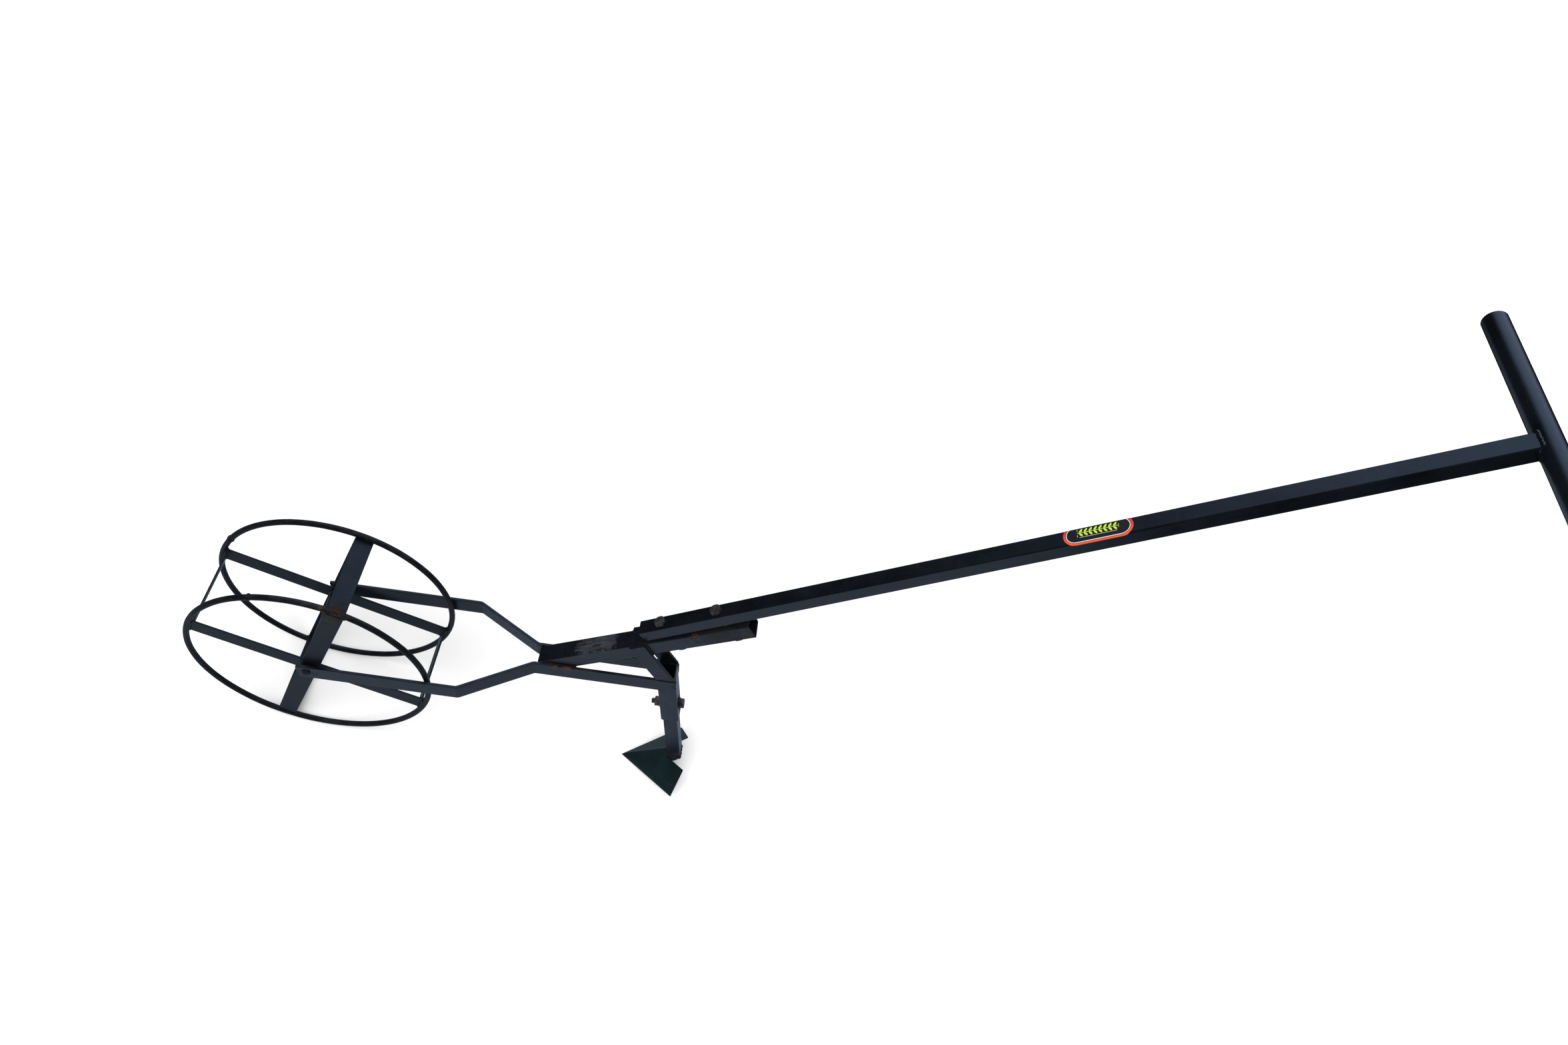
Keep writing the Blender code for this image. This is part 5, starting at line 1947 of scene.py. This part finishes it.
@dataclass
class Tool(Assembly):
    """Square shank with its clamp bolt and the V sweep blade."""

    hardware: Hardware = Hardware()
    blade_length: float = 0.1056
    blade_span: float = 0.146
    chord_rise: float = 0.0364
    chord_back: float = 0.0174
    chord_in: float = 0.0385
    ground: float = 0.0030
    ridge_rise: float = 0.050
    foot_over_edge: float = 0.0259
    bands: int = 5
    band_pitch: float = 0.0037
    band_sunk: float = 0.0006

    def build(self) -> None:
        """Builds shank, blade, clamp bolt and welds."""
        show("tool_shank", "bar", eased(cad_copy("tool_shank"), 0.0010, segments=3), Body.TOOL, Slot.BLACK,
                self.paints.shank)
        self.blade()
        self.clamp()
        self.welds()

    def corner(self, side: int) -> Vector:
        """Outer wing corner, in tool axes; side 0 is the blade's point.

        Args:
            side: -1 for left, 1 for right, 0 for the point.

        Returns:
            The corner.
        """
        lay = self.layout
        if side == 0:
            return lay.in_tool(-lay.blade_ahead, 0, -lay.blade_drop)
        return lay.in_tool(self.blade_length - lay.blade_ahead, side * self.blade_span / 2, -lay.blade_drop)

    def blade(self) -> None:
        """Folded plate with its two leading edges ground from above."""
        data = cad_copy("sweep_blade")
        work = bmesh.new()
        work.from_mesh(data)
        bmesh.ops.dissolve_limit(work, angle_limit=radians(0.5), verts=work.verts, edges=work.edges)
        layer = work.faces.layers.float.new("edge")
        place = self.layout.sleeve
        point = place @ self.corner(0)
        edges = []
        for side in (-1, 1):
            wing = place @ self.corner(side)
            for edge in work.edges:
                ends = [v.co for v in edge.verts]
                if all(min((p - point).length, (p - wing).length) < 0.0005 for p in ends):
                    edges.append(edge)
        made = bmesh.ops.bevel(work, geom=edges, offset=self.ground, segments=1, affect="EDGES")
        for face in made["faces"]:
            face[layer] = 1.0
        work.to_mesh(data)
        work.free()
        show("sweep_blade", "ground", eased(data, 0.0005), Body.TOOL, Slot.GREEN, self.paints.blade)

    def clamp(self) -> None:
        """Clamp bolt, nut and washers through sleeve and shank."""
        lay, kit = self.layout, self.hardware
        place = lay.sleeve @ Matrix.Translation((0, 0, -lay.clamp_depth))
        face = lay.tube_width / 2 + lay.gap
        for where, low in (("rear", face), ("front", -face - kit.washer)):
            name = "clamp_washer_" + where
            shell = Shell(place)
            kit.washer_ring(shell, low, low + kit.washer, across_x)
            show(name, "turned", shell.mesh(name), Body.TOOL, Slot.STEEL, self.paints.steel)
        seat = face + kit.washer + lay.gap
        kit.bolt("clamp_bolt", place, seat, -seat - kit.nut - kit.proud, across_x, Body.TOOL,
                self.paints.steel)
        nut = Shell(place)
        kit.hexagon(nut, -seat - kit.nut, -seat, across_x, bore=kit.thread / 2 + lay.gap)
        show("clamp_nut", "turned", eased(nut.mesh("clamp_nut"), 0.0002), Body.TOOL, Slot.STEEL,
                self.paints.nut)

    def welds(self) -> None:
        """Heavy beads that hold the blade to the shank's foot."""
        lay = self.layout
        made = Welds(lay.sleeve, 31)
        half = lay.shank_width / 2
        heavy = Bead(radius=0.0030, ripple=0.0030, lumps=0.3)
        ridge = lay.in_tool(0, 0, -lay.blade_drop + self.ridge_rise)
        ridge.x = -half - OFF_FACE
        for side in (-1, 1):
            wing, point = self.corner(side), self.corner(0)
            rear = lay.in_tool(self.blade_length - lay.blade_ahead + self.chord_back,
                    side * (self.blade_span / 2 - self.chord_in), self.chord_rise - lay.blade_drop)
            beside = rear + (point - wing) * ((abs(rear.y) - half) / (self.blade_span / 2))
            normal = (wing - point).cross(rear - point)
            y = side * (half + OFF_FACE)

            def height(x: float, y: float = y, normal: Vector = normal) -> float:
                """Height of this wing's top face."""
                return point.z - (normal.x * (x - point.x) + normal.y * (y - point.y)) / normal.z

            front, back = -half, min(beside.x, half * 0.95)
            path = [Vector((x, y, height(x) + OFF_FACE))
                    for x in (front + (back - front) * k / 6 for k in range(7))]
            made.bead(path, heavy)
            made.bead([Vector((ridge.x, side * (half + 0.0005), height(ridge.x) + OFF_FACE)),
                    ridge + Vector((0, 0, 0.0008))], heavy)
        self.foot_bands(made)
        made.show("blade_welds", Body.TOOL, Slot.GREEN, self.paints.weld)

    def foot_bands(self, made: Welds) -> None:
        """Lays bead over bead across the foot's sides and its sloped heel.

        Args:
            made: Where the beads go.
        """
        lay = self.layout
        half = lay.shank_width / 2
        bottom = -lay.blade_drop + self.foot_over_edge
        style = Bead(radius=0.0024, ripple=0.0034, depth=0.10, lumps=0.45)
        for band in range(self.bands):
            z = bottom + 0.0008 + band * self.band_pitch
            rear = min(half, z - bottom)
            side = [(-half + 0.0015, half - self.band_sunk), (rear - 0.001, half - self.band_sunk),
                    (rear - self.band_sunk, half - 0.002)]
            path = [Vector((x, -y, z)) for x, y in side] + [Vector((x, y, z)) for x, y in reversed(side)]
            made.bead(filleted(path, 0.0012, 4), style)


# ---- studio
@dataclass
class Studio:
    """Pale floor, even white light and one soft key light."""

    floor_size: float = 60.0
    floor_tone: float = 0.88
    mirrored_tone: Colour = (0.265, 0.315, 0.41)
    mirrored_edge: Colour = (0.008, 0.008, 0.008)
    sheet: Flat = (1.0, 1.8)
    key_power: float = 2.6
    key_spread: float = radians(50)
    key_tilt: tuple[float, float, float] = (radians(28), radians(-18), 0.0)
    window: tuple[float, float, float] = (0.05, 0.61, 0.79)
    window_light: Colour = (1.1, 1.35, 1.9)

    def build(self) -> None:
        """Builds floor, dome and key light."""
        self.floor()
        self.dome()
        light = bpy.data.lights.new("key", "SUN")
        light.energy = self.key_power
        light.angle = self.key_spread
        key = bpy.data.objects.new("key", light)
        key.rotation_euler = self.key_tilt
        key.visible_glossy = False
        bpy.context.scene.collection.objects.link(key)
        bpy.context.scene.view_settings.view_transform = "Standard"

    def floor(self) -> None:
        """Matt pale floor with a faint mottle."""
        half = self.floor_size / 2
        data = bpy.data.meshes.new("floor")
        data.from_pydata([(-half, -half, 0), (half, -half, 0), (half, half, 0), (-half, half, 0)], [],
                [(0, 1, 2, 3)])
        made, g, shader = node_material("floor_paper")
        tone = self.floor_tone
        paper = g.blend(g.noise(g.place(), 3.0), (tone, tone, tone),
                (tone * 0.985, tone * 0.985, tone * 0.985))
        mirrored = g.node("ShaderNodeLightPath").outputs["Is Glossy Ray"]
        away = g.node("ShaderNodeVectorMath", operation="LENGTH")
        g.feed(away.inputs[0], g.place())
        sheet = g.step(away.outputs["Value"], *self.sheet)
        dim = g.blend(sheet, self.mirrored_tone, self.mirrored_edge)
        g.feed(shader.inputs["Base Color"], g.blend(mirrored, paper, dim))
        shader.inputs["Roughness"].default_value = 0.9
        shader.inputs["Specular IOR Level"].default_value = 0.1
        data.materials.append(made)
        floor = bpy.data.objects.new("floor", data)
        floor.location = (0, 0, -0.0004)
        bpy.context.scene.collection.objects.link(floor)
        floor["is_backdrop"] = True

    def dome(self) -> None:
        """Even white light, with a dim room and one soft window in the gloss."""
        world = bpy.data.worlds.new("dome")
        bpy.context.scene.world = world
        world.use_nodes = True
        tree = world.node_tree
        g = Graph(tree)
        ground = tree.nodes["Background"]
        parts = g.node("ShaderNodeSeparateXYZ")
        g.feed(parts.inputs[0], g.node("ShaderNodeTexCoord").outputs["Generated"])
        near = g.node("ShaderNodeVectorMath", operation="DOT_PRODUCT")
        g.feed(near.inputs[0], g.node("ShaderNodeTexCoord").outputs["Generated"])
        near.inputs[1].default_value = Vector(self.window).normalized()
        window = g.step(near.outputs["Value"], 0.62, 0.99)
        above = g.step(parts.outputs[2], 0.0, 0.8)
        room = g.blend(above, (0.012, 0.013, 0.015), (0.035, 0.042, 0.055))
        room = g.blend(window, room, self.window_light)
        rays = g.node("ShaderNodeLightPath")
        light = g.blend(rays.outputs["Is Glossy Ray"], (0.78, 0.78, 0.78), room)
        g.feed(ground.inputs["Color"], g.blend(rays.outputs["Is Camera Ray"], light, (1.0, 1.0, 1.0)))


@dataclass
class Viewpoint:
    """Camera above and to the front of the tool's left side."""

    place: tuple[float, float, float] = (-0.27812, -0.95485, 1.98717)
    turn: tuple[float, float, float] = (radians(36.1801), radians(-17.0856), radians(6.6610))
    lens: float = 25.707
    shift: Flat = (0.02525, 0.00158)

    def build(self) -> None:
        """Makes the camera the scene's own."""
        data = bpy.data.cameras.new("camera")
        data.sensor_width = 36.0
        data.lens = self.lens
        data.shift_x, data.shift_y = self.shift
        data.clip_end = 200.0
        camera = bpy.data.objects.new("camera", data)
        camera.location = self.place
        camera.rotation_euler = self.turn
        bpy.context.scene.collection.objects.link(camera)
        bpy.context.scene.camera = camera


def corners(box: tuple[Vector, Vector]) -> list[list[float]]:
    """A box's two corners as plain lists."""
    return [[float(x) for x in point] for point in box]


def main() -> None:
    """Builds every sub-assembly around the CAD frame."""
    logging.basicConfig(level=logging.INFO, format="%(message)s")
    cad_box = corners(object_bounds())
    layout = Layout()
    build_effects()
    paints = Paints(layout)
    for assembly in (CageWheel, Fork, Beam, Handle, Label, Sleeve, Tool):
        assembly(layout, paints).build()
    Studio().build()
    Viewpoint().build()
    {"cad": cad_box, "visual": corners(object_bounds())}


if __name__ == "__main__":
    main()
